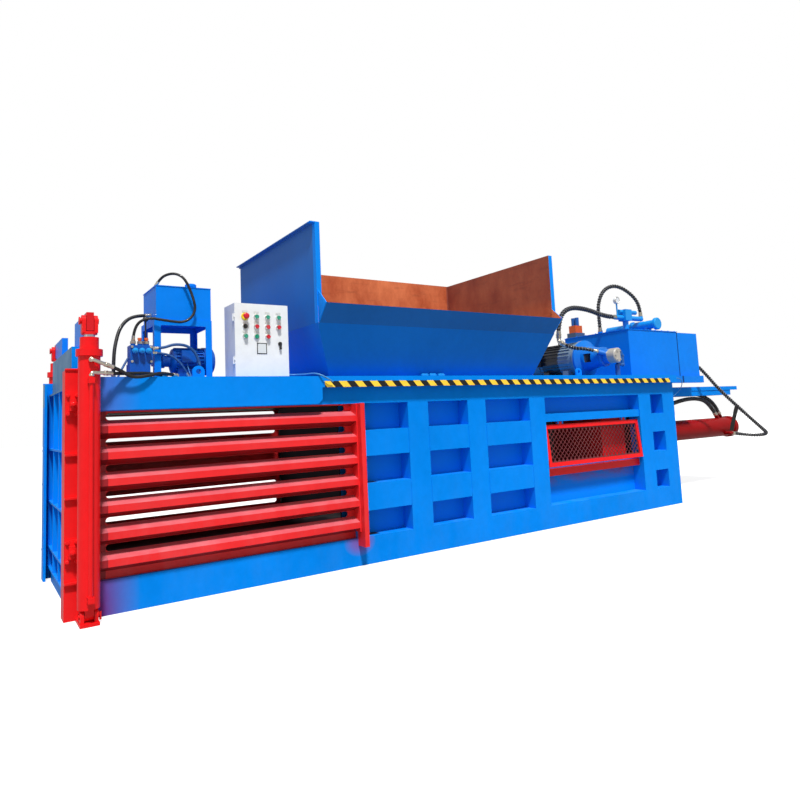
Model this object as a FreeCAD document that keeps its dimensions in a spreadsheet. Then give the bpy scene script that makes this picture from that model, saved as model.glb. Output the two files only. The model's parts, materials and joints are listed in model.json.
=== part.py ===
import FreeCAD, Part
import math
import os
import re
import Sketcher

# Horizontal recycling baler. Lengths in millimetres, +Z up, +X from the bale outlet to the main cylinder,
# -Y towards the operator. The origin is the middle of the body's base, on the floor.
# Formulas below count x from the bale outlet and y from the operator's face of the body.

SIZES = [
    ("bodyLength", 7060, "bale outlet to rear bulkhead"),
    ("bodyWidth", 1650, "operator's face to far face"),
    ("sideDepth", 155, "depth of the side frames"),
    ("frameStart", 200, "side frames begin behind the gate columns"),
    ("beamTop", 236, "top of the bottom beams, level with the chamber floor"),
    ("windowTop", 1400, "underside of the top beams"),
    ("deckTop", 1640, "top of the deck"),
    ("deckThick", 12, "deck plate"),
    ("flangeReach", 70, "overhang of the deck edge"),
    ("flangeHigh", 95, "height of the deck edge"),
    ("skirtHigh", 236, "tall apron over the slotted side"),
    ("skirtEnd", 1935, "end of the tall apron"),
    ("linerThick", 20, "chamber wall plate"),
    ("floorThick", 20, "chamber floor plate"),
    ("postWidth", 235, "post between two bays"),
    ("firstBayStart", 2330, "first bay behind the comb plate"),
    ("firstBay", 522, "width of the first bay"),
    ("secondBay", 491, "width of the second bay"),
    ("thirdBay", 624, "width of the third bay"),
    ("guardBay", 1655, "width of the guarded bay"),
    ("endBay", 256, "width of the small end bay"),
    ("lowPocket", 220, "height of the low pockets"),
    ("midPocketBottom", 691, "bottom of the middle pockets"),
    ("midPocket", 241, "height of the middle pockets"),
    ("topPocket", 239, "height of the top pockets"),
    ("crossBeamWide", 100, "cross beams under the floor"),
    ("bulkheadThick", 40, "rear bulkhead"),
    ("sillHigh", 100, "sill under the gate"),
    ("sillDeep", 140, "sill length along the body"),
    # bale chamber sides
    ("combStart", 2268, "face of the comb plate"),
    ("combThick", 43, "comb plate"),
    ("combReach", 120, "comb plate stands out by"),
    ("plateSetback", 40, "slotted plate behind the operator's face"),
    ("plateThick", 12, "slotted plate"),
    ("barPitch", 183, "from ridge bar to ridge bar"),
    ("topBarHeight", 1271, "middle of the top ridge bar"),
    ("barReach", 60, "ridge bars stand out by"),
    ("barFace", 50, "flat face of a ridge bar"),
    ("barBase", 130, "foot of a ridge bar"),
    ("barSheet", 10, "folded sheet of a ridge bar"),
    ("slotStart", 262, "left end of the wire slots"),
    ("slotEnd", 2197, "right end of the wire slots"),
    ("slotHigh", 50, "height of the wire slots"),
    # gate columns and gate
    ("columnSetback", 28, "column face behind the operator's face"),
    ("columnDeep", 150, "column flange"),
    ("columnThick", 20, "column plate"),
    ("columnTop", 1693, "height of the columns"),
    ("columnRib", 14, "stiffener on a column"),
    ("guideWide", 80, "guide adjuster plate"),
    ("guideHigh", 160, "guide adjuster plate"),
    ("gateFront", 45, "front of the gate ribs"),
    ("gatePlate", 130, "front of the gate plate"),
    ("gatePlateThick", 20, "gate plate"),
    ("gateEdge", 60, "gate edge inside the column"),
    ("gateTop", 1600, "top of the gate plate"),
    ("gateRib", 16, "gate ribs"),
    ("headTop", 1880, "top of the gate head beam"),
    ("headBack", 190, "back of the gate head beam"),
    ("headEdge", 192, "end of the head beam"),
    # gate lift cylinders
    ("liftAlong", 130, "lift cylinder centre"),
    ("liftOut", 132, "lift cylinder stands off the operator's face by"),
    ("liftBarrel", 140, "barrel diameter"),
    ("liftBore", 110, "bore diameter"),
    ("liftRod", 70, "rod diameter"),
    ("liftPinHeight", 60, "foot pin above the floor"),
    ("liftPin", 36, "foot pin diameter"),
    ("barrelBottom", 105, "closed end of the barrel"),
    ("barrelTop", 1775, "underside of the top flange"),
    ("glandTop", 1905, "top of the gland"),
    ("forkPinHeight", 2020, "fork pin above the floor"),
    ("forkPin", 40, "fork pin diameter"),
    ("lugThick", 46, "lift lug plate"),
    ("lugTop", 2076, "top of the lift lug"),
    ("lugIn", 425, "inner end of the lift lug"),
    ("pipeRun", 26, "pipe along the barrel"),
    ("runFit", 0.05, "radial clearance of pins, rods and stems"),
    ("slideGap", 0.3, "clearance of sliding plates"),
    # hopper
    ("hopperBaseStart", 2072, "hopper base"),
    ("hopperBaseEnd", 4574, "hopper base"),
    ("hopperBaseNear", 60, "hopper base"),
    ("hopperStart", 1883, "hopper left wall"),
    ("hopperEnd", 4759, "hopper right wall"),
    ("hopperNear", -127, "hopper near fold"),
    ("hopperFar", "=bodyWidth + 45", "hopper rear wall"),
    ("foldHeight", 2090, "fold between funnel and walls"),
    ("hopperTop", 2969, "top of the hopper"),
    ("hopperSheet", 8, "hopper sheet"),
    ("hopperFlange", 45, "edge flanges of the hopper"),
    ("lipReach", 142, "front lip leans out by"),
    ("lipRise", 151, "height of the front lip"),
    # control cabinet
    ("cabinetStart", 1228, "left side of the cabinet"),
    ("cabinetFace", 80, "front opening of the cabinet"),
    ("cabinetWide", 466, "cabinet"),
    ("cabinetHigh", 612, "cabinet"),
    ("cabinetDeep", 230, "cabinet"),
    ("cabinetSheet", 3, "cabinet sheet"),
    ("doorDeep", 18, "door pan"),
    ("knuckle", 14, "door hinge knuckle diameter"),
    ("knuckleOut", 8, "hinge axis outside the cabinet side"),
    ("knucklePin", 6, "door hinge pin diameter"),
    ("controlPitch", 97, "from column to column of controls"),
    ("controlStart", 87, "first column of controls from the door edge"),
    ("rowPitch", 82, "from row to row of controls"),
    ("topRow", 2142, "top row of controls"),
    ("capDia", 34, "button cap diameter"),
    ("stemDia", 12, "button stem diameter"),
    ("bezelDia", 46, "button bezel diameter"),
    ("mushroomDia", 60, "mushroom head diameter"),
    ("capTravel", 5, "button travel"),
    # gate power unit
    ("standStart", 620, "angle stand of the gate power unit"),
    ("standWide", 445, "angle stand"),
    ("standNear", 140, "angle stand"),
    ("standDeep", 445, "angle stand"),
    ("standHigh", 466, "angle stand"),
    ("angleLeg", 50, "angle section"),
    ("angleThick", 6, "angle section"),
    ("gateTankHigh", 265, "gate oil tank"),
    ("gateMotorDia", 220, "gate pump motor"),
    ("gateMotorHeight", 150, "gate pump motor axis above the deck"),
    ("gateMotorAlong", 308, "gate pump motor axis from the operator's face"),
    ("valveStart", 440, "hand valve block"),
    ("valveWide", 160, "hand valve block"),
    ("leverPin", 12, "lever pivot pin"),
    # main power unit
    ("motorAlong", "=bodyLength - 975", "main motor axis"),
    ("motorHeight", 258, "main motor axis above the deck"),
    ("motorDia", 465, "main motor"),
    ("motorNear", "=bodyWidth / 2 - 245", "drive end of the main motor"),
    ("motorLong", 780, "main motor"),
    ("bellLong", 306, "bell housing"),
    ("pumpDia", 184, "main pump"),
    ("pumpLong", 220, "main pump"),
    ("tankStart", "=bodyLength - 280", "main oil tank"),
    ("tankLong", 1110, "main oil tank"),
    ("coolerLong", 498, "cooler box beside the tank"),
    ("coolerGap", 14, "gap between tank and cooler box"),
    ("tankNear", "=bodyWidth / 2 - 425", "main oil tank"),
    ("tankDeep", 1100, "main oil tank"),
    ("tankBottom", 1660, "main oil tank"),
    ("tankTop", 2300, "main oil tank"),
    # main cylinder, ram and platform
    ("cylinderHeight", 862, "main cylinder axis"),
    ("cylinderDia", 300, "main cylinder barrel"),
    ("cylinderBore", 250, "main cylinder bore"),
    ("cylinderStart", "=bodyLength - 100", "gland end of the main cylinder"),
    ("cylinderEnd", "=bodyLength + 2776", "closed end of the main cylinder"),
    ("mainRodDia", 160, "main rod"),
    ("ramStart", 4650, "pressing face of the ram"),
    ("ramHead", 320, "length of the ram head"),
    ("ramTail", 5800, "rear block of the ram"),
    ("ramTailLong", 440, "rear block of the ram"),
    ("ramGap", 4, "ram clear of the chamber walls"),
    ("platformEnd", "=bodyLength + 2680", "end of the rear platform"),
    ("platformWide", 450, "rear platform"),
    ("platformTop", 1507, "rear platform"),
    ("platformHigh", 57, "rear platform flange"),
    ("railHigh", 78, "rails under the rear platform"),
    ("railShort", 190, "rails end before the platform by"),
    # mesh guard
    ("guardTop", 1120, "hinge axis of the mesh guard"),
    ("guardIn", 52, "hinge axis behind the operator's face"),
    ("guardHigh", 480, "mesh guard"),
    ("guardBar", 45, "guard frame bar"),
    ("guardThick", 24, "guard frame bar"),
    ("guardLean", 5.6, "guard leans out at the bottom, in degrees"),
    ("guardPin", 16, "guard hinge pin"),
    ("meshPitch", 64, "expanded mesh, along"),
    ("meshRise", 61, "expanded mesh, up"),
    ("meshStrand", 6.5, "expanded mesh strand"),
    ("meshThick", 3, "expanded mesh sheet"),
]

V = FreeCAD.Vector
doc = FreeCAD.newDocument("Baler")
sheet = doc.addObject("Spreadsheet::Sheet", "Sizes")
for row, (alias, number, note) in enumerate(SIZES, start=1):
    sheet.set(f"A{row}", note)
    sheet.set(f"B{row}", str(number))
    sheet.setAlias(f"B{row}", alias)
doc.recompute()
ALIASES = {alias for alias, number, note in SIZES}
NODES = []

TURN = {
    "x": FreeCAD.Rotation(V(0, 1, 0), 90),
    "y": FreeCAD.Rotation(V(1, 0, 0), -90),
    "z": FreeCAD.Rotation(),
}


# ---------------------------------------------------------------- formulas and document objects
def formula(text):
    return re.sub(r"[A-Za-z]\w*", lambda m: "Sizes." + m[0] if m[0] in ALIASES else m[0], str(text))


def size(text):
    return float(sheet.evalExpression(formula(text)))


def bind(thing, prop, text):
    thing.setExpression(prop, formula(text))


def place(thing, x, y, z):
    bind(thing, "Placement.Base.x", f"({x}) - bodyLength / 2")
    bind(thing, "Placement.Base.y", f"({y}) - bodyWidth / 2")
    bind(thing, "Placement.Base.z", z)


def node(thing, name):
    thing.Label = name
    NODES.append(thing)
    return thing


def box(name, x, y, z):
    solid = doc.addObject("Part::Box", name)
    for prop, (low, high) in zip(("Length", "Width", "Height"), (x, y, z)):
        bind(solid, prop, f"({high}) - ({low})")
    place(solid, x[0], y[0], z[0])
    return solid


def rod(name, axis, diameter, span, across):
    solid = doc.addObject("Part::Cylinder", name)
    bind(solid, "Radius", f"({diameter}) / 2")
    bind(solid, "Height", f"({span[1]}) - ({span[0]})")
    solid.Placement = FreeCAD.Placement(V(), TURN[axis])
    base = list(across)
    base.insert("xyz".index(axis), span[0])
    place(solid, *base)
    return solid


def limb(name, diameter, length, start, direction):
    """A round stub that leaves its start point in any direction."""
    solid = doc.addObject("Part::Cylinder", name)
    bind(solid, "Radius", f"({diameter}) / 2")
    bind(solid, "Height", length)
    solid.Placement = FreeCAD.Placement(V(), FreeCAD.Rotation(V(0, 0, 1), V(*direction)))
    place(solid, *start)
    return solid


def ball(name, diameter, x, y, z):
    solid = doc.addObject("Part::Sphere", name)
    bind(solid, "Radius", f"({diameter}) / 2")
    place(solid, x, y, z)
    return solid


def fuse(name, parts):
    solid = doc.addObject("Part::MultiFuse", name)
    solid.Shapes = list(parts)
    return solid


def chain(name, parts):
    """Fuse one piece after another, where joining all at once leaves faulty faces."""
    whole = parts[0]
    for number, part in enumerate(parts[1:]):
        step = doc.addObject("Part::Fuse", f"{name}_{number}")
        step.Base = whole
        step.Tool = part
        whole = step
    return whole


def cut(name, base, tools):
    tools = list(tools)
    solid = doc.addObject("Part::Cut", name)
    solid.Base = base
    solid.Tool = tools[0] if len(tools) == 1 else fuse(name + "_tools", tools)
    return solid


def mirrored(name, source):
    solid = doc.addObject("Part::Mirroring", name)
    solid.Source = source
    solid.Base = V()
    solid.Normal = V(0, 1, 0)
    return solid


def group(name, parts):
    several = doc.addObject("Part::Compound", name)
    several.Links = list(parts)
    return several


def pair(name, near):
    return group(name, [near, mirrored(name + "_far", near)])


def polygon_sketch(body, name, plane, points):
    sketch = body.newObject("Sketcher::SketchObject", name)
    support = [item for item in body.Origin.OriginFeatures if item.Role == plane][0]
    sketch.AttachmentSupport = [(support, "")]
    sketch.MapMode = "FlatFace"
    values = [(size(first), size(second)) for first, second in points]
    count = len(points)
    for i, start in enumerate(values):
        end = values[(i + 1) % count]
        sketch.addGeometry(Part.LineSegment(V(start[0], start[1], 0), V(end[0], end[1], 0)), False)
    for i in range(count):
        sketch.addConstraint(Sketcher.Constraint("Coincident", i, 2, (i + 1) % count, 1))
    for i, corner in enumerate(points):
        for kind, text, value in zip(("DistanceX", "DistanceY"), corner, values[i]):
            number = sketch.addConstraint(Sketcher.Constraint(kind, -1, 1, i, 1, value))
            sketch.setExpression(f"Constraints[{number}]", formula(text))
    return sketch


def prism(name, plane, outline, span):
    """Pad of a polygon in plane yz, xz or xy; its coordinates and the span count from the datums."""
    body = doc.addObject("PartDesign::Body", name)
    shifts = {"x": " - bodyLength / 2", "y": " - bodyWidth / 2", "z": ""}
    points = [(f"({a}){shifts[plane[0]]}", f"({b}){shifts[plane[1]]}") for a, b in outline]
    sketch = polygon_sketch(body, name + "_sketch", plane.upper() + "_Plane", points)
    pad = body.newObject("PartDesign::Pad", name + "_pad")
    pad.Profile = sketch
    pad.Reversed = plane == "xz"
    bind(pad, "Length", f"({span[1]}) - ({span[0]})")
    normal = [axis for axis in "xyz" if axis not in plane][0]
    bind(body, f"Placement.Base.{normal}", f"({span[0]}){shifts[normal]}")
    return body


def turned(name, axis, profile, start, across):
    """Revolution of (radius, distance along the axis) points about the axis."""
    body = doc.addObject("PartDesign::Body", name)
    sketch = polygon_sketch(body, name + "_sketch", "XZ_Plane", profile)
    turn = body.newObject("PartDesign::Revolution", name + "_turn")
    turn.Profile = sketch
    turn.ReferenceAxis = (sketch, ["V_Axis"])
    turn.Angle = 360
    body.Placement = FreeCAD.Placement(V(), TURN[axis])
    base = list(across)
    base.insert("xyz".index(axis), start)
    place(body, *base)
    return body


def finned(name, axis, profile, start, across, fin, count):
    """A turned body with thin fins round it: fin is (outer radius, thickness, first, last)."""
    body = turned(name, axis, profile, start, across)
    outer, thick, first, last = fin
    sketch = polygon_sketch(body, name + "_fin", "XY_Plane", [
        (f"({outer}) * 0.8", f"-({thick}) / 2"), (outer, f"-({thick}) / 2"),
        (outer, f"({thick}) / 2"), (f"({outer}) * 0.8", f"({thick}) / 2")])
    bind(sketch, "AttachmentOffset.Base.z", first)
    pad = body.newObject("PartDesign::Pad", name + "_fin_pad")
    pad.Profile = sketch
    bind(pad, "Length", f"({last}) - ({first})")
    ring = body.newObject("PartDesign::PolarPattern", name + "_fins")
    ring.Originals = [pad]
    ring.Axis = ([item for item in body.Origin.OriginFeatures if item.Role == "Z_Axis"][0], [""])
    ring.Angle = 360
    ring.Occurrences = count
    body.Tip = ring
    return body


def frustum(name, low, high, z):
    """Four-sided taper from the low rectangle to the high one: each is ((x0, x1), (y0, y1))."""
    wedge = doc.addObject("Part::Wedge", name)
    half_x, half_y = "bodyLength / 2", "bodyWidth / 2"
    for prop, text in {
        "Xmin": f"({low[0][0]}) - {half_x}", "Xmax": f"({low[0][1]}) - {half_x}",
        "X2min": f"({high[0][0]}) - {half_x}", "X2max": f"({high[0][1]}) - {half_x}",
        "Zmin": f"{half_y} - ({low[1][1]})", "Zmax": f"{half_y} - ({low[1][0]})",
        "Z2min": f"{half_y} - ({high[1][1]})", "Z2max": f"{half_y} - ({high[1][0]})",
        "Ymin": z[0], "Ymax": z[1],
    }.items():
        bind(wedge, prop, text)
    wedge.Placement = FreeCAD.Placement(V(), FreeCAD.Rotation(V(1, 0, 0), 90))
    return wedge


# ---------------------------------------------------------------- hoses
def route(points):
    """Straight runs joined by tangent arcs, each as large as its two runs allow."""
    edges = []
    radii = []
    last = points[0]
    for i in range(1, len(points) - 1):
        before, here, after = points[i - 1], points[i], points[i + 1]
        back = (before - here).normalize()
        ahead = (after - here).normalize()
        shorter = min((here - before).Length, (after - here).Length)
        turn = math.pi - back.getAngle(ahead)
        tangent = 0.45 * shorter
        radius = tangent / math.tan(turn / 2)
        radii.append(radius)
        first = here + back * tangent
        second = here + ahead * tangent
        inward = (back + ahead).normalize()
        middle = here + inward * (radius / math.cos(turn / 2) - radius)
        edges.append(Part.LineSegment(last, first).toShape())
        edges.append(Part.Arc(first, middle, second).toShape())
        last = second
    edges.append(Part.LineSegment(last, points[-1]).toShape())
    return Part.Wire(edges), radii


def hose(name, diameter, points, base=("0", "0", "0")):
    """A hose through points counted from a base; prints its length and tightest bend."""
    corners = [placed(point, base) for point in points]
    wire, radii = route(corners)
    ring = Part.Circle(corners[0], corners[1] - corners[0], diameter / 2).toShape()
    solid = wire.makePipeShell([Part.Wire([ring])], True, False)
    expected = math.pi * diameter ** 2 / 4 * wire.Length
    runs = [round((b - a).Length / diameter, 1) for a, b in zip(corners, corners[1:])]
    print(f"{name}: length {wire.Length:.0f}, least radius {min(radii) / diameter:.1f} diameters, "
          f"runs {min(runs)} to {max(runs)} diameters, volume ratio {solid.Volume / expected:.4f}")
    return solid


def placed(point, base=("0", "0", "0")):
    """A point counted from a base, which is counted like every other size."""
    return V(*point) + V(*map(size, base)) - V(size("bodyLength / 2"), size("bodyWidth / 2"), 0)


def elbow(diameter, start, corner, end, base=("0", "0", "0")):
    """A steel elbow between two hose ends."""
    start, corner, end = placed(start, base), placed(corner, base), placed(end, base)
    knee = Part.makeSphere(diameter / 2 + 2, corner)
    for tip in (start, end):
        knee = knee.fuse(Part.makeCylinder(diameter / 2, (tip - corner).Length, corner, tip - corner))
    return knee


def strap(width, thick, start, end, base):
    """A flat strap from the long hose down to the cylinder."""
    start, end = placed(start, base), placed(end, base)
    band = Part.makeBox(width, thick, (end - start).Length, V(-width / 2, -thick / 2, 0))
    turn = FreeCAD.Rotation(V(1, 0, 0), V(0, 0, 0), end - start, "ZXY")
    band.Placement = FreeCAD.Placement(start, turn)
    return band


def hoses(name, solids):
    thing = doc.addObject("Part::Feature", name)
    thing.Shape = Part.makeCompound(solids)
    return node(thing, name)


# ---------------------------------------------------------------- body weldments
BAYS = ("firstBay", "secondBay", "thirdBay", "guardBay", "endBay")


def bay_span(index):
    """Left and right edge of a bay: the bays follow each other with a post between them."""
    left = "firstBayStart" + "".join(f" + {bay} + postWidth" for bay in BAYS[:index])
    return left, f"{left} + {BAYS[index]}"


POCKETS = [
    ("beamTop", "beamTop + lowPocket"),
    ("midPocketBottom", "midPocketBottom + midPocket"),
    ("windowTop - topPocket", "windowTop"),
]
THROUGH = ("-combReach", "sideDepth + combReach")
GUARD = bay_span(3)
BEAM = ("guardTop + 15", "guardTop + 102")


def side_blank(name):
    block = box(name + "_block", ("frameStart", "bodyLength"), ("0", "sideDepth"),
                ("0", "deckTop - deckThick"))
    tools = [box(name + "_bale_bay", ("frameStart - 10", "combStart"), THROUGH, ("beamTop", "windowTop"))]
    for index in (0, 1, 2, 4):
        for row, height in enumerate(POCKETS):
            tools.append(box(f"{name}_pocket_{index}_{row}", bay_span(index), THROUGH, height))
    tools.append(box(name + "_guard_bay", GUARD, THROUGH, ("beamTop", "windowTop")))
    return cut(name + "_blank", block, tools)


HINGE_SPOTS = (f"({GUARD[0]}) + 270", f"({GUARD[1]}) - 270")


def guard_ears(x):
    """Two ears under the blue beam carry one pin of the mesh guard."""
    ears = []
    for side, low in enumerate((f"{x} - 45", f"{x} + 25")):
        ears.append(box(f"guard_ear_{side}", (low, f"({low}) + 20"), ("guardIn - 12", "guardIn + 14"),
                        ("guardTop - 14", BEAM[0])))
    return ears


def side_frames():
    near = side_blank("near_side")
    parts = [near, box("guard_beam", GUARD, ("10", "90"), BEAM)]
    bores = []
    for spot in HINGE_SPOTS:
        parts += guard_ears(spot)
        bores.append(rod("guard_bore", "x", "guardPin + 2 * runFit", (f"{spot} - 50", f"{spot} + 50"),
                         ("guardIn", "guardTop")))
    node(cut("near_frame", fuse("near_frame_solid", parts), bores), "side_frame_near")
    far = side_blank("far_side")
    node(mirrored("far_frame", far), "side_frame_far")


def chamber_liners():
    span = ("frameStart", "bodyLength - bulkheadThick")
    height = ("beamTop - floorThick", "deckTop - deckThick")
    near = cut("near_liner",
               box("near_liner_plate", span, ("sideDepth", "sideDepth + linerThick"), height), [
        box("guard_hole", GUARD, ("sideDepth - 1", "sideDepth + linerThick + 1"),
            ("guardTop - guardHigh + 10", "guardTop + 15")),
        box("slot_hole", ("slotStart", "slotEnd"), ("sideDepth - 1", "sideDepth + linerThick + 1"),
            ("beamTop", "windowTop"))])
    far_y = ("bodyWidth - sideDepth - linerThick", "bodyWidth - sideDepth")
    far = cut("far_liner", box("far_liner_plate", span, far_y, height), [
        box("far_slot_hole", ("slotStart", "slotEnd"), (f"{far_y[0]} - 1", f"{far_y[1]} + 1"),
            ("beamTop", "windowTop"))])
    node(group("liners", [near, far]), "chamber_liners")


INSIDE = ("sideDepth + linerThick", "bodyWidth - sideDepth - linerThick")
BETWEEN = ("sideDepth", "bodyWidth - sideDepth")
CROSS_BEAMS = 11
MIDDLE = "bodyWidth / 2"
REAR_PORTS = ((f"{MIDDLE} - 125", "1180"), (f"{MIDDLE} + 125", "1240"))


def bed_frame():
    parts = [box("floor_plate", ("frameStart", "bodyLength - bulkheadThick"), INSIDE,
                 ("beamTop - floorThick", "beamTop"))]
    first, last = "frameStart + crossBeamWide / 2", "bodyLength - frameStart - crossBeamWide / 2"
    for i in range(CROSS_BEAMS):
        middle = f"{first} + {i} * ({last} - ({first})) / {CROSS_BEAMS - 1}"
        parts.append(box(f"cross_beam_{i}",
                         (f"{middle} - crossBeamWide / 2", f"{middle} + crossBeamWide / 2"),
                         BETWEEN, ("0", "beamTop - floorThick")))
    parts.append(box("gate_sill", ("frameStart - sillDeep", "frameStart"),
                     ("columnSetback + columnDeep", "bodyWidth - columnSetback - columnDeep"), ("0",
                             "sillHigh")))
    bulkhead = cut("bulkhead",
                   box("bulkhead_plate", ("bodyLength - bulkheadThick", "bodyLength"), BETWEEN,
                                   ("beamTop - floorThick", "deckTop - deckThick")),
                   [rod("bulkhead_hole", "x", "cylinderDia + 2 * slideGap",
                        ("bodyLength - bulkheadThick - 1", "bodyLength + 1"),
                        ("bodyWidth / 2", "cylinderHeight"))])
    parts.append(bulkhead)
    for i, (y, z) in enumerate(REAR_PORTS):
        parts.append(rod(f"rear_port_{i}", "x", 64, ("bodyLength", "bodyLength + 60"), (y, z)))
    parts.append(box("bulkhead_foot", ("bodyLength - bulkheadThick", "bodyLength"), BETWEEN,
                     ("0", "beamTop - floorThick")))
    node(fuse("bed", parts), "bed_frame")


def lifting_eye(name, x):
    plate = box(name + "_plate", (f"{x} - 47", f"{x} + 47"), ("40", "60"), ("deckTop", "deckTop + 45"))
    head = rod(name + "_head", "y", 94, ("40", "60"), (x, "deckTop + 45"))
    return cut(name, fuse(name + "_blank", [plate, head]),
               [rod(name + "_hole", "y", 40, ("39", "61"), (x, "deckTop + 48"))])


def top_deck():
    far_edge = "bodyWidth + flangeReach"
    plate = box("deck_plate", ("frameStart", "bodyLength"), ("-flangeReach", far_edge),
                ("deckTop - deckThick", "deckTop"))
    apron = ("deckTop - flangeHigh", "deckTop")
    near_apron = box("near_apron", ("frameStart", "bodyLength"),
                     ("-flangeReach", "deckThick - flangeReach"), apron)
    far_apron = box("far_apron", ("frameStart", "bodyLength"), (f"{far_edge} - deckThick", far_edge),
                    apron)
    roof = box("chamber_roof", ("frameStart", "bodyLength - bulkheadThick"), INSIDE,
               ("windowTop + 3", "deckTop - deckThick"))
    feed = box("feed_hole", ("hopperBaseStart + 18", "hopperBaseEnd - 18"), INSIDE,
               ("windowTop", "deckTop + 1"))
    skirt_z = ("deckTop - skirtHigh", "deckTop - flangeHigh")
    skirt = prism("near_skirt", "xz", [
        ("frameStart", skirt_z[0]), ("skirtEnd - 40", skirt_z[0]), ("skirtEnd", f"{skirt_z[0]} + 40"),
        ("skirtEnd", skirt_z[1]), ("frameStart", skirt_z[1])],
        ("-flangeReach", "deckThick - flangeReach"))
    skirt_foot = box("skirt_foot", ("frameStart", "skirtEnd - 40"), ("-flangeReach", "0"),
                     (skirt_z[0], f"{skirt_z[0]} + deckThick"))
    parts = [plate, near_apron, far_apron, roof, skirt, skirt_foot]
    parts += [lifting_eye("front_eye", "926"), lifting_eye("rear_eye", "5315")]
    node(cut("deck", fuse("deck_solid", parts), [feed]), "top_deck")
    node(box("tape", ("1959", "6908"), ("-flangeReach - 1", "-flangeReach"), ("1545", "1597")),
         "hazard_tape")


BARS = 6


def chamber_sides():
    span = ("frameStart", "combStart")
    plate_y = ("plateSetback", "plateSetback + plateThick")
    plate = box("slotted_plate", span, plate_y, ("beamTop", "windowTop"))
    slots = []
    bars = []
    for i in range(BARS):
        slot_z = f"topBarHeight + barPitch / 2 - {i} * barPitch"
        cutter = ("plateSetback - 1", "plateSetback + plateThick + 1")
        slots.append(box(f"slot_{i}", ("slotStart + slotHigh / 2", "slotEnd - slotHigh / 2"), cutter,
                         (f"{slot_z} - slotHigh / 2", f"{slot_z} + slotHigh / 2")))
        for end in ("slotStart + slotHigh / 2", "slotEnd - slotHigh / 2"):
            slots.append(rod(f"slot_end_{i}", "y", "slotHigh", cutter, (end, slot_z)))
        bar_z = f"topBarHeight - {i} * barPitch"
        bars.append(prism(f"ridge_bar_{i}", "yz", [
            ("plateSetback", f"{bar_z} - barBase / 2"), ("-barReach", f"{bar_z} - barFace / 2"),
            ("-barReach", f"{bar_z} + barFace / 2"), ("plateSetback", f"{bar_z} + barBase / 2"),
            ("plateSetback", f"{bar_z} + barBase / 2 - barSheet * 1.2"),
            ("barSheet - barReach", f"{bar_z} + barFace / 2 - barSheet * 0.6"),
            ("barSheet - barReach", f"{bar_z} - barFace / 2 + barSheet * 0.6"),
            ("plateSetback", f"{bar_z} - barBase / 2 + barSheet * 1.2")], span))
    comb = box("comb_plate", ("combStart", "combStart + combThick"), ("-combReach", "0"),
               ("beamTop", "windowTop"))
    foot = box("comb_foot", ("combStart", "combStart + combThick"), ("-combReach", "0"),
               ("beamTop - barPitch / 3", "beamTop"))
    lip = box("comb_weld", ("combStart - barSheet", "combStart"), ("-barReach", "plateSetback"),
              ("beamTop + barPitch / 3", "windowTop"))
    near = fuse("chamber_side", [cut("slotted", plate, slots), comb, foot, lip] + bars)
    node(pair("chamber_side_pair", near), "chamber_sides")


def columns():
    inner = "columnSetback + columnThick"
    back = "columnSetback + columnDeep"
    channel = prism("column_channel", "xy", [
        ("0", "columnSetback"), ("frameStart", "columnSetback"), ("frameStart", back),
        ("frameStart - columnThick", back), ("frameStart - columnThick", inner), ("columnThick", inner),
        ("columnThick", back), ("0", back)], ("0", "columnTop"))
    ribs = [box(f"column_rib_{i}", ("0", "frameStart"), ("0", "columnSetback"),
                (f"{z} - columnRib / 2", f"{z} + columnRib / 2")) for i, z in enumerate((250, 814, 1107))]
    cap = box("column_cap", ("0", "frameStart"), ("columnSetback - 10", inner),
              ("columnTop", "columnTop + 12"))
    near = [fuse("near_column", [channel, cap])] + ribs
    node(group("near_column_parts", near), "column_near")
    far = [mirrored(f"far_column_{i}", part) for i, part in enumerate(near)]
    node(group("far_column_parts", far), "column_far")


def gate_guides():
    guides = []
    for i, height in enumerate((458, 1452)):
        low, high = f"{height} - guideHigh / 2", f"{height} + guideHigh / 2"
        parts = [box(f"guide_plate_{i}", ("5", "5 + guideWide"), ("columnSetback - 16", "columnSetback"),
                     (low, high)),
                 box(f"guide_block_{i}", ("25", "guideWide - 15"),
                     ("columnSetback - 52", "columnSetback - 16"),
                     (f"{height} - 42", f"{height} + 42"))]
        for x in ("5 + 12", "guideWide - 7"):
            for z in (f"({low}) + 16", f"({high}) - 16"):
                parts.append(rod(f"guide_bolt_{i}", "y", 18, ("columnSetback - 28", "columnSetback - 16"),
                                 (x, z)))
        guides.append(fuse(f"guide_{i}", parts))
    near = group("near_guides", guides)
    far = [mirrored(f"far_guide_{i}", guide) for i, guide in enumerate(guides)]
    node(group("guides", [near] + far), "gate_guides")


def gate_panel():
    width = ("gateEdge", "bodyWidth - gateEdge")
    parts = [box("gate_plate", ("gatePlate", "gatePlate + gatePlateThick"), width,
                 ("sillHigh", "gateTop"))]
    depth = ("gateFront", "gatePlate")
    for i, z in enumerate(("sillHigh + gateRib / 2", "280", "668", "1120", "gateTop - gateRib / 2")):
        parts.append(box(f"gate_rib_{i}", depth, width, (f"{z} - gateRib / 2", f"{z} + gateRib / 2")))
    for i in range(5):
        y = f"gateEdge + gateRib / 2 + {i} * (bodyWidth - 2 * gateEdge - gateRib) / 4"
        parts.append(box(f"gate_post_{i}", depth, (f"{y} - gateRib / 2", f"{y} + gateRib / 2"),
                         ("sillHigh", "gateTop")))
    parts.append(box("gate_head", ("gateFront + 15", "headBack"), ("headEdge", "bodyWidth - headEdge"),
                     ("gateTop", "headTop")))
    node(fuse("gate", parts), "gate_panel")


LIFT_Y = "-liftOut"


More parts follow.
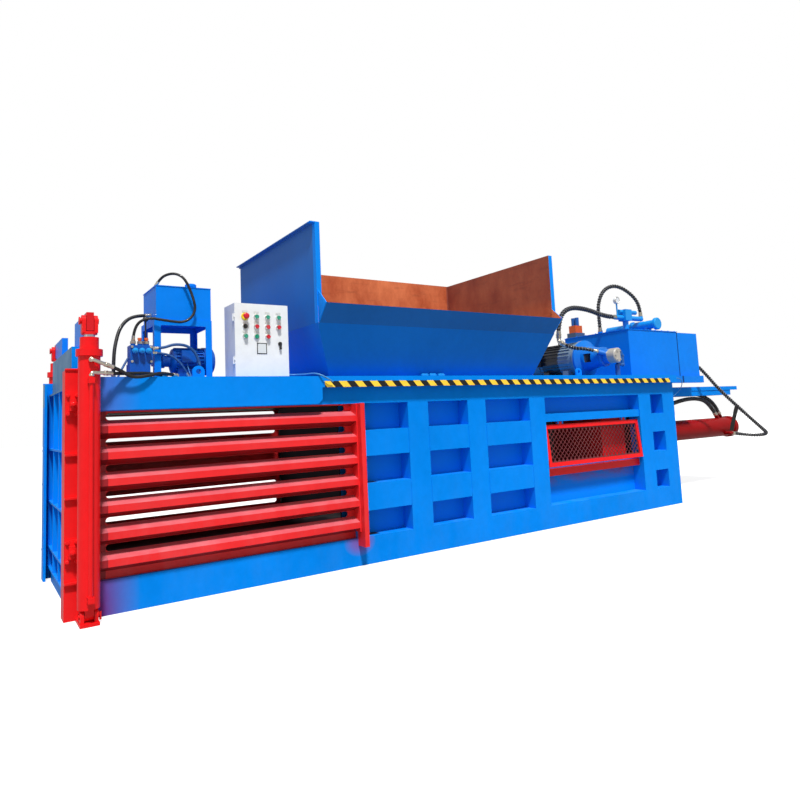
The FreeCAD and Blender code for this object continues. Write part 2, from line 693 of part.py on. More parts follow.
def lift_parts():
    lug = prism("lug_plate", "yz", [
        ("-liftOut - 40", "forkPinHeight - 70"), ("-liftOut - 40", "lugTop"), ("lugIn", "lugTop"),
        ("lugIn", "headTop"), ("headEdge", "headTop"), ("-liftOut + 80", "forkPinHeight - 70")],
        ("liftAlong - lugThick / 2", "liftAlong + lugThick / 2"))
    eye = rod("lug_eye", "x", "forkPin + 2 * runFit", ("liftAlong - lugThick", "liftAlong + lugThick"),
              (LIFT_Y, "forkPinHeight"))
    node(pair("lug_pair", cut("lug", lug, [eye])), "lift_lugs")

    piston = "liftBore / 2 - slideGap"
    lift_rod = turned("near_rod", "z", [
        ("0", "0"), (piston, "0"), (piston, "80"), ("liftRod / 2", "80"),
        ("liftRod / 2", "glandTop + 20 - barrelBottom - 35"), ("0", "glandTop + 20 - barrelBottom - 35")],
        "barrelBottom + 35", ("liftAlong", LIFT_Y))
    node(pair("rod_pair", lift_rod), "lift_rods")

    tine = ("lugThick / 2 + 3", "lugThick / 2 + 27")
    parts = [rod("fork_base", "z", 100, ("glandTop + 20", "glandTop + 40"), ("liftAlong", LIFT_Y))]
    for side, (low, high) in enumerate(((f"liftAlong - ({tine[1]})", f"liftAlong - ({tine[0]})"),
                                        (f"liftAlong + {tine[0]}", f"liftAlong + {tine[1]}"))):
        parts.append(box(f"fork_tine_{side}", (low, high), ("-liftOut - 40", "-liftOut + 40"),
                         ("glandTop + 30", "forkPinHeight")))
        parts.append(rod(f"fork_tip_{side}", "x", 80, (low, high), (LIFT_Y, "forkPinHeight")))
    bore = rod("fork_bore", "x", "forkPin + 2 * runFit", ("liftAlong - 60", "liftAlong + 60"),
               (LIFT_Y, "forkPinHeight"))
    node(pair("fork_pair", cut("fork", fuse("fork_solid", parts), [bore])), "rod_forks")
    pin = fuse("fork_pin_solid", [
        rod("fork_pin_shank", "x", "forkPin", ("liftAlong - 58", "liftAlong + 58"),
            (LIFT_Y, "forkPinHeight")),
        rod("fork_pin_head", "x", "forkPin + 14", ("liftAlong - 66", "liftAlong - 58"),
            (LIFT_Y, "forkPinHeight"))])
    node(pair("fork_pin_pair", pin), "fork_pins")

    outer, bore_r = "liftBarrel / 2", "liftBore / 2"
    barrel = turned("barrel_tube", "z", [
        ("0", "0"), (outer, "0"), (outer, "barrelTop - barrelBottom"),
        (f"{outer} + 15", "barrelTop - barrelBottom"),
        (f"{outer} + 15", "barrelTop + 47 - barrelBottom"),
        (f"{outer} - 10", "barrelTop + 47 - barrelBottom"),
        (f"{outer} - 10", "glandTop - barrelBottom"), ("liftRod / 2 + runFit", "glandTop - barrelBottom"),
        ("liftRod / 2 + runFit", "barrelTop + 55 - barrelBottom"),
        (bore_r, "barrelTop + 55 - barrelBottom"),
        (bore_r, "25"), ("0", "25")], "barrelBottom", ("liftAlong", LIFT_Y))
    tang = box("barrel_tang", ("liftAlong - 28", "liftAlong + 28"), ("-liftOut - 40", "-liftOut + 40"),
               ("liftPinHeight", "barrelBottom + 5"))
    toe = rod("barrel_toe", "x", 66, ("liftAlong - 28", "liftAlong + 28"), (LIFT_Y, "liftPinHeight"))
    port = rod("barrel_port", "y", 34, ("-liftOut - liftBarrel / 2 - 14", "-liftOut - liftBore / 2 - 4"),
               ("liftAlong", "barrelTop - 30"))
    foot_bore = rod("foot_bore", "x", "liftPin + 2 * runFit", ("liftAlong - 80", "liftAlong + 80"),
                    (LIFT_Y, "liftPinHeight"))
    node(pair("barrel_pair", cut("barrel", fuse("barrel_solid", [barrel, tang, toe, port]),
                                    [foot_bore])), "lift_barrels")

    parts = [box("foot_base", ("liftAlong - 60", "liftAlong + 60"), ("-liftOut - 70", "columnSetback"),
                 ("0", "20"))]
    for side, (low,
               high) in enumerate((("liftAlong - 55", "liftAlong - 31"),
                                   ("liftAlong + 31", "liftAlong + 55"))):
        parts.append(box(f"foot_ear_{side}", (low, high), ("-liftOut - 42", "-liftOut + 42"),
                         ("20", "liftPinHeight")))
        parts.append(rod(f"foot_round_{side}", "x", 84, (low, high), (LIFT_Y, "liftPinHeight")))
    ear_bore = rod("ear_bore", "x", "liftPin + 2 * runFit", ("liftAlong - 80", "liftAlong + 80"),
                   (LIFT_Y, "liftPinHeight"))
    node(pair("foot_pair", cut("foot", fuse("foot_solid", parts), [ear_bore])), "lift_feet")
    pin = fuse("foot_pin_solid", [
        rod("foot_pin_shank", "x", "liftPin", ("liftAlong - 62", "liftAlong + 68"),
            (LIFT_Y, "liftPinHeight")),
        rod("foot_pin_handle", "z", 14, ("liftPinHeight - 40", "liftPinHeight + 12"),
            ("liftAlong + 72", LIFT_Y))])
    node(pair("foot_pin_pair", pin), "foot_pins")

    pipe_y = "-liftOut - liftBarrel / 2 - pipeRun"
    pipe = ("liftAlong", pipe_y)
    parts = [rod("pipe_run", "z", "pipeRun", ("barrelBottom + 60", "barrelTop - 145"), pipe)]
    for i, z in enumerate(("barrelBottom + 70", "barrelTop - 170")):
        parts.append(box(f"pipe_elbow_{i}", ("liftAlong - 20", "liftAlong + 20"),
                         (f"{pipe_y} - 20", "-liftOut - liftBarrel / 2 + 2"), (f"{z} - 20", f"{z} + 20")))
    node(pair("pipe_pair", cut("pipe", fuse("pipe_solid", parts), [
        rod("pipe_seat", "z", "liftBarrel + 2 * runFit", ("barrelBottom", "barrelTop"),
            ("liftAlong", LIFT_Y))])),
        "lift_pipes")


# ---------------------------------------------------------------- hopper
BASE_FAR = "bodyWidth - hopperBaseNear"


def hopper():
    low = (("hopperBaseStart", "hopperBaseEnd"), ("hopperBaseNear", BASE_FAR))
    high = (("hopperStart", "hopperEnd"), ("hopperNear", "hopperFar"))

    def inset(rectangle):
        return tuple((f"{a} + hopperSheet", f"{b} - hopperSheet") for a, b in rectangle)

    z = ("deckTop", "foldHeight")
    node(cut("funnel", frustum("funnel_outer", low, high, z),
             [frustum("funnel_inner", inset(low), inset(high), z)]),
         "hopper_funnel")

    inner = ("hopperStart + hopperSheet", "hopperEnd - hopperSheet")
    depth = ("hopperNear", "hopperFar")
    height = ("foldHeight", "hopperTop")
    rim = ("hopperTop - hopperSheet", "hopperTop")
    edge = ("foldHeight + lipRise", "hopperTop")
    near_edge = ("hopperNear", "hopperNear + hopperSheet")
    node(fuse("walls", [
        box("left_wall", ("hopperStart", inner[0]), depth, height),
        box("right_wall", (inner[1], "hopperEnd"), depth, height),
        box("rear_wall", ("hopperStart", "hopperEnd"), ("hopperFar - hopperSheet", "hopperFar"), height),
        box("left_rim", ("hopperStart - hopperFlange", "hopperStart"), depth, rim),
        box("right_rim", ("hopperEnd", "hopperEnd + hopperFlange"), depth, rim),
        box("rear_rim", ("hopperStart", "hopperEnd"), ("hopperFar", "hopperFar + hopperFlange"), rim),
        box("left_edge", ("hopperStart", "hopperStart + hopperFlange"), near_edge, edge),
        box("right_edge", ("hopperEnd", "hopperEnd + hopperFlange"), near_edge, edge)]), "hopper_walls")

    slant = "hopperSheet * 1.4"
    lip_x = ("hopperStart + hopperSheet + 12", "hopperEnd - hopperSheet - 12")
    sheet_part = prism("lip_sheet", "yz", [
        ("hopperNear", "foldHeight"), ("hopperNear - lipReach", "foldHeight + lipRise"),
        (f"hopperNear - lipReach + {slant}", "foldHeight + lipRise"),
        (f"hopperNear + {slant}", "foldHeight")],
        lip_x)
    parts = [sheet_part]
    for side, low_x in enumerate((lip_x[0], f"{lip_x[1]} - hopperSheet")):
        parts.append(prism(f"lip_gusset_{side}", "yz", [
            ("hopperNear", "foldHeight"), ("hopperNear - lipReach", "foldHeight + lipRise"),
            ("hopperNear", "foldHeight + lipRise")], (low_x, f"{low_x} + hopperSheet")))
    node(fuse("lip", parts), "hopper_lip")


# ---------------------------------------------------------------- control cabinet
CAB = ("cabinetStart", "cabinetStart + cabinetWide")
DOOR_Y = ("cabinetFace - doorDeep", "cabinetFace - slideGap")
HINGE = ("cabinetStart - knuckleOut", "cabinetFace - 4")
KNUCKLES = ("deckTop + 110", "deckTop + cabinetHigh - 150")
# name, column, row, kind
CONTROLS = [
    ("emergency_stop", 0, 0, "mushroom"), ("start_button_1", 1, 0, "cap"),
    ("start_button_2", 2, 0, "cap"),
    ("start_button_3", 3, 0, "cap"), ("mode_selector", 0, 1, "selector"), ("stop_button_1", 1, 1, "cap"),
    ("stop_button_2", 2, 1, "cap"), ("stop_button_3", 3, 1, "cap"), ("reset_button", 0, 2, "cap"),
    ("pump_selector", 1, 2, "selector"), ("halt_button", 2, 2, "cap")]


def control_spot(column, row):
    return f"cabinetStart + controlStart + {column} * controlPitch", f"topRow - {row} * rowPitch"


def cabinet():
    skin, height = "cabinetSheet", ("deckTop", "deckTop + cabinetHigh")
    depth = ("cabinetFace", "cabinetFace + cabinetDeep")
    shell = cut("cabinet_shell", box("cabinet_block", CAB, depth, height), [
        box("cabinet_room", (f"{CAB[0]} + {skin}", f"{CAB[1]} - {skin}"),
            ("cabinetFace - 1", f"{depth[1]} - {skin}"),
            (f"{height[0]} + {skin}", f"{height[1]} - {skin}"))])
    parts = [shell]
    for i, z in enumerate(KNUCKLES):
        parts.append(box(f"frame_leaf_{i}", ("cabinetStart - 4", "cabinetStart"),
                         ("cabinetFace", "cabinetFace + 30"),
                         (z, f"{z} + 30")))
        parts.append(rod(f"frame_knuckle_{i}", "z", "knuckle", (z, f"{z} + 30"), HINGE))
        parts.append(rod(f"hinge_pin_{i}", "z", "knucklePin", (z, f"{z} + 58"), HINGE))
        parts.append(box(f"frame_web_{i}", (f"{HINGE[0]}", "cabinetStart - 1"),
                         ("cabinetFace", "cabinetFace + 6"),
                         (z, f"{z} + 30")))
    node(fuse("cabinet", parts), "cabinet_body")

    door_z = ("deckTop + 2", height[1])
    pan = cut("door_pan", box("door_block", CAB, DOOR_Y, door_z), [
        box("door_room", (f"{CAB[0]} + {skin}", f"{CAB[1]} - {skin}"),
            (f"{DOOR_Y[0]} + {skin}", f"{DOOR_Y[1]} + 1"),
            (f"{door_z[0]} + {skin}", f"{door_z[1]} - {skin}"))])
    parts = [pan]
    bores = []
    for i, z in enumerate(KNUCKLES):
        low = f"{z} + 30 + slideGap"
        parts.append(rod(f"door_knuckle_{i}", "z", "knuckle", (low, f"{z} + 60"), HINGE))
        parts.append(box(f"door_leaf_{i}", (HINGE[0], "cabinetStart"), (DOOR_Y[0], "cabinetFace - 8"),
                         (low, f"{z} + 60")))
        bores.append(rod(f"knuckle_bore_{i}", "z", "knucklePin + 2 * runFit", (f"{z} + 29", f"{z} + 61"),
                         HINGE))
    face = "cabinetFace - doorDeep"
    for name, column, row, kind in CONTROLS:
        x, z = control_spot(column, row)
        ring = "bezelDia" if kind != "mushroom" else "bezelDia + 10"
        parts.append(rod(name + "_bezel", "y", ring, (f"{face} - 8", face), (x, z)))
        well = "capDia + 1.6" if kind != "mushroom" else "bezelDia - 4"
        bores.append(rod(name + "_well", "y", well, (f"{face} - 9", f"{face} - 1"), (x, z)))
        bores.append(rod(name + "_hole", "y", "stemDia + 2 * runFit", (f"{face} - 9", f"{face} + 5"),
                         (x, z)))
    bores.append(rod("lock_hole", "y", "stemDia + 2 * runFit", (f"{face} - 9", f"{face} + 5"), LOCK))
    node(cut("door", fuse("door_solid", parts), bores), "cabinet_door")


LOCK = ("cabinetStart + cabinetWide - 78", "deckTop + 282")


def controls():
    face = "cabinetFace - doorDeep"
    for name, column, row, kind in CONTROLS:
        spot = control_spot(column, row)
        stem = rod(name + "_stem", "y", "stemDia", (f"{face} - 7", f"{face} + 12"), spot)
        if kind == "mushroom":
            parts = [stem,
                     rod(name + "_neck", "y", "bezelDia - 14",
                         (f"{face} - 20", f"{face} - 1 - capTravel"), spot),
                     turned(name + "_head", "y", [
                         ("0", "0"), ("mushroomDia * 0.32", "0"), ("mushroomDia / 2", "10"),
                         ("mushroomDia / 2", "18"),
                         ("0", "22")], f"{face} - 38", spot)]
        elif kind == "cap":
            parts = [stem, turned(name + "_cap", "y", [
                ("0", "0"), ("capDia / 2 - 3", "0"), ("capDia / 2", "3"), ("capDia / 2", "12"),
                ("0", "12")],
                f"{face} - 1 - capTravel - 12", spot)]
        else:
            parts = [stem, rod(name + "_base", "y", "capDia", (f"{face} - 14", f"{face} - 1.5"), spot),
                     box(name + "_grip", (f"{spot[0]} - 5", f"{spot[0]} + 5"),
                         (f"{face} - 30", f"{face} - 13"),
                         (f"{spot[1]} - capDia / 2 + 1", f"{spot[1]} + capDia / 2 - 1"))]
        node(fuse(name + "_solid", parts), name)
    x, z = LOCK
    parts = [rod("lock_stem", "y", "stemDia", (f"{face} - 6", f"{face} + 14"), LOCK),
             rod("lock_rose", "y", "capDia", (f"{face} - 7", f"{face} - 0.5"), LOCK),
             box("lock_grip", (f"{x} - 8", f"{x} + 8"), (f"{face} - 22", f"{face} - 6"),
                 (f"{z} - 48", f"{z} + 14"))]
    node(fuse("lock", parts), "cabinet_lock")


# ---------------------------------------------------------------- gate power unit
STAND_X = ("standStart", "standStart + standWide")
STAND_Y = ("standNear", "standNear + standDeep")
STAND_TOP = "deckTop + standHigh"


def angle_post(name, x_face, y_face, toward_x, toward_y, z):
    """An L section whose heel is the corner x_face, y_face and whose legs run inwards."""
    def leg(a, step):
        return f"{a} + ({step}) * angleLeg", f"{a} + ({step}) * angleThick"
    end_x, thick_x = leg(x_face, toward_x)
    end_y, thick_y = leg(y_face, toward_y)
    return prism(name, "xy", [(x_face, y_face), (end_x, y_face), (end_x, thick_y), (thick_x, thick_y),
                              (thick_x, end_y), (x_face, end_y)], z)


def gate_unit():
    parts = []
    for i, (x, sx) in enumerate(((STAND_X[0], 1), (STAND_X[1], -1))):
        for j, (y, sy) in enumerate(((STAND_Y[0], 1), (STAND_Y[1], -1))):
            parts.append(angle_post(f"stand_leg_{i}{j}", x, y, sx, sy, ("deckTop", STAND_TOP)))
    rail = (f"{STAND_TOP} - angleLeg", STAND_TOP)
    shelf = (f"{STAND_TOP} - angleThick", STAND_TOP)
    for i, y in enumerate(((STAND_Y[0], f"{STAND_Y[0]} + angleThick"),
                           (f"{STAND_Y[1]} - angleThick", STAND_Y[1]))):
        parts.append(box(f"stand_rail_y{i}", STAND_X, y, rail))
    for i, x in enumerate(((STAND_X[0], f"{STAND_X[0]} + angleThick"),
                           (f"{STAND_X[1]} - angleThick", STAND_X[1]))):
        parts.append(box(f"stand_rail_x{i}", x, STAND_Y, rail))
    parts.append(box("stand_shelf", STAND_X, STAND_Y, shelf))
    node(fuse("stand", parts), "gate_stand")

    tank_x = (f"{STAND_X[0]} + 17", f"{STAND_X[1]} - 2")
    tank_y = (f"{STAND_Y[0]} + 10", f"{STAND_Y[1]} - 10")
    top = f"{STAND_TOP} + gateTankHigh"
    node(fuse("small_tank", [
        box("small_tank_box", tank_x, tank_y, (STAND_TOP, f"{top} - 6")),
        box("small_tank_lid", (f"{tank_x[0]} - 4", f"{tank_x[1]} + 2"),
            (f"{tank_y[0]} - 4", f"{tank_y[1]} + 4"),
            (f"{top} - 6", top)),
        turned("small_tank_cap", "z", [("0", "0"), ("30", "0"), ("30", "10"), ("44", "10"), ("44", "30"),
                                       ("38", "36"), ("0", "36")], top,
                                       ("standStart + 300", "standNear + 70"))]),
        "gate_tank")

    r = "gateMotorDia / 2"
    axis = ("gateMotorAlong", "deckTop + gateMotorHeight")
    body = finned("small_motor", "x", [
        ("0", "0"), ("45", "0"), ("45", "40"), (f"{r} - 12", "60"), (f"{r} - 12", "300"),
        (f"{r} + 4", "300"),
        (f"{r} + 4", "370"), (f"{r} - 20", "385"), ("0", "385")], "standStart + 110", axis,
        (r, "4", "75", "290"), 24)
    foot_z = ("deckTop", "deckTop + gateMotorHeight - gateMotorDia * 0.3")
    foot_x = ("standStart + 195", "standStart + 375")
    pump = turned("small_pump", "x",
                  [("0", "0"), ("42", "0"), ("42", "70"), ("55", "70"), ("55", "92"), ("0", "92")],
                  "standStart + 18", axis)
    terminal = box("small_terminal_box", ("standStart + 215", "standStart + 325"),
                   ("gateMotorAlong - gateMotorDia / 2 - 35", "gateMotorAlong - gateMotorDia / 2 + 30"),
                   (f"{axis[1]} - 20", f"{axis[1]} + 75"))
    feet = box("small_motor_feet", foot_x, ("gateMotorAlong - gateMotorDia / 2 + 10",
                                             "gateMotorAlong + gateMotorDia / 2 - 10"), foot_z)
    node(fuse("small_motor_set", [body, feet, pump, terminal]), "gate_motor")

    block_x = ("valveStart", "valveStart + valveWide")
    block_y = ("100", "215")
    block_z = ("deckTop + 110", "deckTop + 250")
    parts = [
        box("valve_base", (f"{block_x[0]} - 5", f"{block_x[1]} - 20"), ("90", "225"),
            ("deckTop", "deckTop + 110")),
        box("valve_block", block_x, block_y, block_z)]
    for i in range(3):
        x = f"valveStart + 28 + {i} * 48"
        parts.append(rod(f"valve_spool_{i}", "y", 40, ("75", "245"), (x, "deckTop + 205")))
        parts.append(rod(f"valve_port_{i}", "z", 34, ("deckTop + 250", "deckTop + 285"), (x, "150")))
    for side, low in enumerate(("-22", "10")):
        x = f"{LEVER_X} + ({low})"
        parts.append(box(f"lever_ear_{side}", (x, f"{x} + 12"), ("185", "215"),
                         ("deckTop + 240", "deckTop + 296")))
    bore = rod("lever_bore", "x", "leverPin + 2 * runFit", (f"{LEVER_X} - 30", f"{LEVER_X} + 30"),
               LEVER_AXIS)
    node(cut("hand_valve", fuse("hand_valve_solid", parts), [bore]), "gate_valve")
    parts = [
        rod("lever_pin", "x", "leverPin", (f"{LEVER_X} - 24", f"{LEVER_X} + 24"), LEVER_AXIS),
        rod("lever_hub", "x", 24, (f"{LEVER_X} - 9.5", f"{LEVER_X} + 9.5"), LEVER_AXIS),
        rod("lever_bar", "z", 12, ("deckTop + 282", "deckTop + 450"), (LEVER_X, LEVER_AXIS[0])),
        ball("lever_knob", 42, LEVER_X, LEVER_AXIS[0], "deckTop + 464")]
    node(fuse("lever", parts), "valve_lever")


LEVER_X = "valveStart + 130"
LEVER_AXIS = ("200", "deckTop + 282")


# ---------------------------------------------------------------- main power unit
def main_unit():
    axis = ("motorAlong", "deckTop + motorHeight")
    r = "motorDia / 2"
    body = finned("motor_body", "y", [
        ("0", "0"), (f"{r} + 10", "0"), (f"{r} + 10", "22"), (f"{r} - 14", "30"),
        (f"{r} - 14", "motorLong - 170"),
        (f"{r} - 4", "motorLong - 170"), (f"{r} - 4", "motorLong - 12"), (f"{r} - 40", "motorLong"),
        ("0", "motorLong")], "motorNear", axis, (r, "6", "90", "motorLong - 175"), 30)
    feet = [box(f"motor_foot_{i}", (f"motorAlong - {r} + 20", f"motorAlong + {r} - 20"),
                (f"motorNear + {y}", f"motorNear + {y} + 90"),
                ("deckTop", "deckTop + motorHeight - motorDia * 0.3"))
            for i, y in enumerate((110, 440))]
    eye = cut("motor_eye", rod("motor_eye_disc", "x", 60, ("motorAlong - 8", "motorAlong + 8"),
                               ("motorNear + 400", f"deckTop + motorHeight + {r} + 12")),
              [rod("motor_eye_hole", "x", 30, ("motorAlong - 9", "motorAlong + 9"),
                   ("motorNear + 400", f"deckTop + motorHeight + {r} + 16"))])
    terminal = box("motor_terminal_box", (f"motorAlong - {r} - 70", f"motorAlong - {r} + 40"),
                   ("motorNear + 560", "motorNear + 720"),
                   ("deckTop + motorHeight - 60", "deckTop + motorHeight + 110"))
    node(fuse("motor", [body, eye, terminal] + feet), "main_motor")

    bell_start = "motorNear - bellLong"
    shell = turned("bell", "y", [
        ("70", "0"), ("125", "0"), ("125", "70"), ("165", "bellLong - 60"),
        (f"{r} + 10", "bellLong - 24"),
        (f"{r} + 10", "bellLong"), (f"{r} - 45", "bellLong"), ("145", "bellLong - 40"), ("105", "85"),
        ("70", "40")], bell_start, axis)
    windows = [box("bell_window", (f"motorAlong - {r} - 20", f"motorAlong + {r} + 20"),
                   (f"{bell_start} + 110", f"{bell_start} + 210"),
                   ("deckTop + motorHeight - 55", "deckTop + motorHeight + 55"))]
    node(cut("bell_housing_solid", shell, windows), "bell_housing")

    pump_start = f"{bell_start} - pumpLong"
    parts = [turned("pump_body", "y", [
        ("0", "0"), ("80", "0"), ("92", "12"), ("92", "50"), ("pumpDia / 2", "62"),
        ("pumpDia / 2", "pumpLong - 50"),
        ("85", "pumpLong - 30"), ("120", "pumpLong - 24"), ("120", "pumpLong"), ("60", "pumpLong"),
        ("60", "pumpLong + 25"), ("0", "pumpLong + 25")], pump_start, axis)]
    for i in range(6):
        parts.append(rod(f"pump_bolt_{i}", "y", 20, (f"{pump_start} - 10", f"{pump_start} + 20"),
                         (f"motorAlong + 62 * cos({i * 60})", f"{axis[1]} + 62 * sin({i * 60})")))
    port = ("motorAlong", f"{pump_start} + 80", axis[1])
    parts.append(limb("pump_port", 52, PORT_OUT, port, PORT_WAY))
    parts.append(limb("pump_port_nut", 70, 110, port, PORT_WAY))
    bend_x, bend_z = "motorAlong + 165", f"{axis[1]} - 110"
    parts += [
        rod("inlet_stub", "x", 44, ("motorAlong + 45", bend_x), port[1:]),
        ball("inlet_bend", 52, bend_x, port[1], port[2]),
        rod("inlet_drop", "z", 44, (bend_z, port[2]), (bend_x, port[1])),
        ball("inlet_foot", 53, bend_x, port[1], bend_z),
        rod("inlet_return", "x", 44, ("motorAlong + 60", bend_x), (port[1], bend_z)),
        rod("inlet_drain", "z", 56, ("deckTop", bend_z), ("motorAlong + 60", port[1]))]
    node(chain("pump", parts), "main_pump")


PORT_OUT = 190
PORT_WAY = (-0.72, 0.58, 0.3)


TANK_PORT = ("bodyLength - 180", f"{MIDDLE} + 105")
COOLER_PORT = (f"{MIDDLE} - 320", "tankTop - 460")
FILTER_X = "bodyLength + 460"
FILTER_Y = f"{MIDDLE} - 395"


def oil_tank():
    body_x = ("tankStart", "tankStart + tankLong")
    box_x = ("tankStart + tankLong + coolerGap", "tankStart + tankLong + coolerGap + coolerLong")
    tank_y = ("tankNear", "tankNear + tankDeep")
    foot_end = f"{box_x[1]} + 10"
    parts = [
        box("tank_box", body_x, tank_y, ("tankBottom", "tankTop - 8")),
        box("tank_lid", (f"{body_x[0]} - 8", f"{body_x[1]} + 8"),
            (f"{tank_y[0]} - 8", f"{tank_y[1]} + 8"),
            ("tankTop - 8", "tankTop")),
        box("cooler_box", box_x, (f"{tank_y[0]} + 10", f"{tank_y[1]} - 10"),
            ("tankBottom", "tankTop - 12")),
        box("cooler_neck", (body_x[1], box_x[0]), (f"{tank_y[0]} + 40", f"{tank_y[1]} - 40"),
            ("tankBottom", "tankTop - 60")),
        box("tank_base", (f"{body_x[0]} - 60", foot_end), (f"{tank_y[0]} - 40", f"{tank_y[1]} + 40"),
            ("deckTop", "tankBottom"))]
    for i, y in enumerate((f"{tank_y[0]} - 40", f"{tank_y[1]} - 20", f"{MIDDLE} + 60")):
        parts.append(box(f"tank_bearer_{i}", ("bodyLength", foot_end), (y, f"{y} + 60"),
                         ("deckTop - 80", "deckTop")))
    parts.append(rod("tank_port", "z", 70, ("tankTop", "tankTop + 30"), TANK_PORT))
    parts.append(rod("cooler_port", "x", 64, (box_x[1], f"{box_x[1]} + 60"), COOLER_PORT))
    node(fuse("oil_tank", parts), "main_tank")

    filter_axis = (FILTER_X, "tankTop + 110")
    node(fuse("filter", [
        turned("filter_body", "y", [
            ("0", "0"), ("74", "0"), ("86", "10"), ("86", "46"), ("62", "56"), ("62", "400"),
            ("76", "400"),
            ("76", "430"), ("52", "446"), ("52", "860"), ("0", "860")], FILTER_Y, filter_axis),
        box("filter_saddle_0", (f"{FILTER_X} - 50", f"{FILTER_X} + 50"),
            (f"{FILTER_Y} + 150", f"{FILTER_Y} + 190"),
            ("tankTop", "tankTop + 90")),
        box("filter_saddle_1", (f"{FILTER_X} - 50", f"{FILTER_X} + 50"),
            (f"{FILTER_Y} + 650", f"{FILTER_Y} + 690"),
            ("tankTop", "tankTop + 90"))]), "return_filter")

    pipe_y, pipe_z = f"{MIDDLE} - 105", "tankTop + 215"
    run_end, stem, riser = "bodyLength + 480", "bodyLength + 120", "bodyLength - 50"
    parts = [
        rod("manifold_run", "x", 70, ("bodyLength - 100", run_end), (pipe_y, pipe_z)),
        ball("manifold_bend", 70, run_end, pipe_y, pipe_z),
        rod("manifold_end", "z", 60, (pipe_z, "tankTop + 252"), (run_end, pipe_y)),
        rod("manifold_stem", "z", 80, ("tankTop", pipe_z), (stem, pipe_y)),
        rod("manifold_collar", "z", 120, ("tankTop", "tankTop + 24"), (stem, pipe_y)),
        box("manifold_block", (f"{stem} - 70", f"{stem} + 70"), (f"{pipe_y} - 65", f"{pipe_y} + 65"),
            ("tankTop + 170", "tankTop + 330")),
        rod("manifold_valve", "x", 60, (f"{stem} - 140", f"{stem} + 240"), (pipe_y, "tankTop + 300")),
        rod("manifold_riser", "z", 22, (pipe_z, "tankTop + 408"), (riser, pipe_y))]
    node(fuse("manifold", parts), "valve_manifold")

    node(turned("gauge", "y", [("0", "0"), ("44", "0"), ("50", "6"), ("50", "38"), ("0", "38")],
                f"{pipe_y} - 19", (riser, "tankTop + 458")), "pressure_gauge")

    foot = f"{MIDDLE} + 475"
    parts = [box("solenoid_base", ("tankStart + 10", "tankStart + 210"), (foot, f"{foot} + 160"),
                 ("tankTop", "tankTop + 70")),
             box("solenoid_block", ("tankStart + 35", "tankStart + 185"),
                 (f"{foot} + 20", f"{foot} + 140"),
                 ("tankTop + 70", "tankTop + 180"))]
    for i, y in enumerate((45, 115)):
        parts.append(rod(f"solenoid_{i}", "z", 56, ("tankTop + 180", "tankTop + 300"),
                         ("tankStart + 110", f"{foot} + {y}")))
    node(fuse("solenoid", parts), "solenoid_valve")


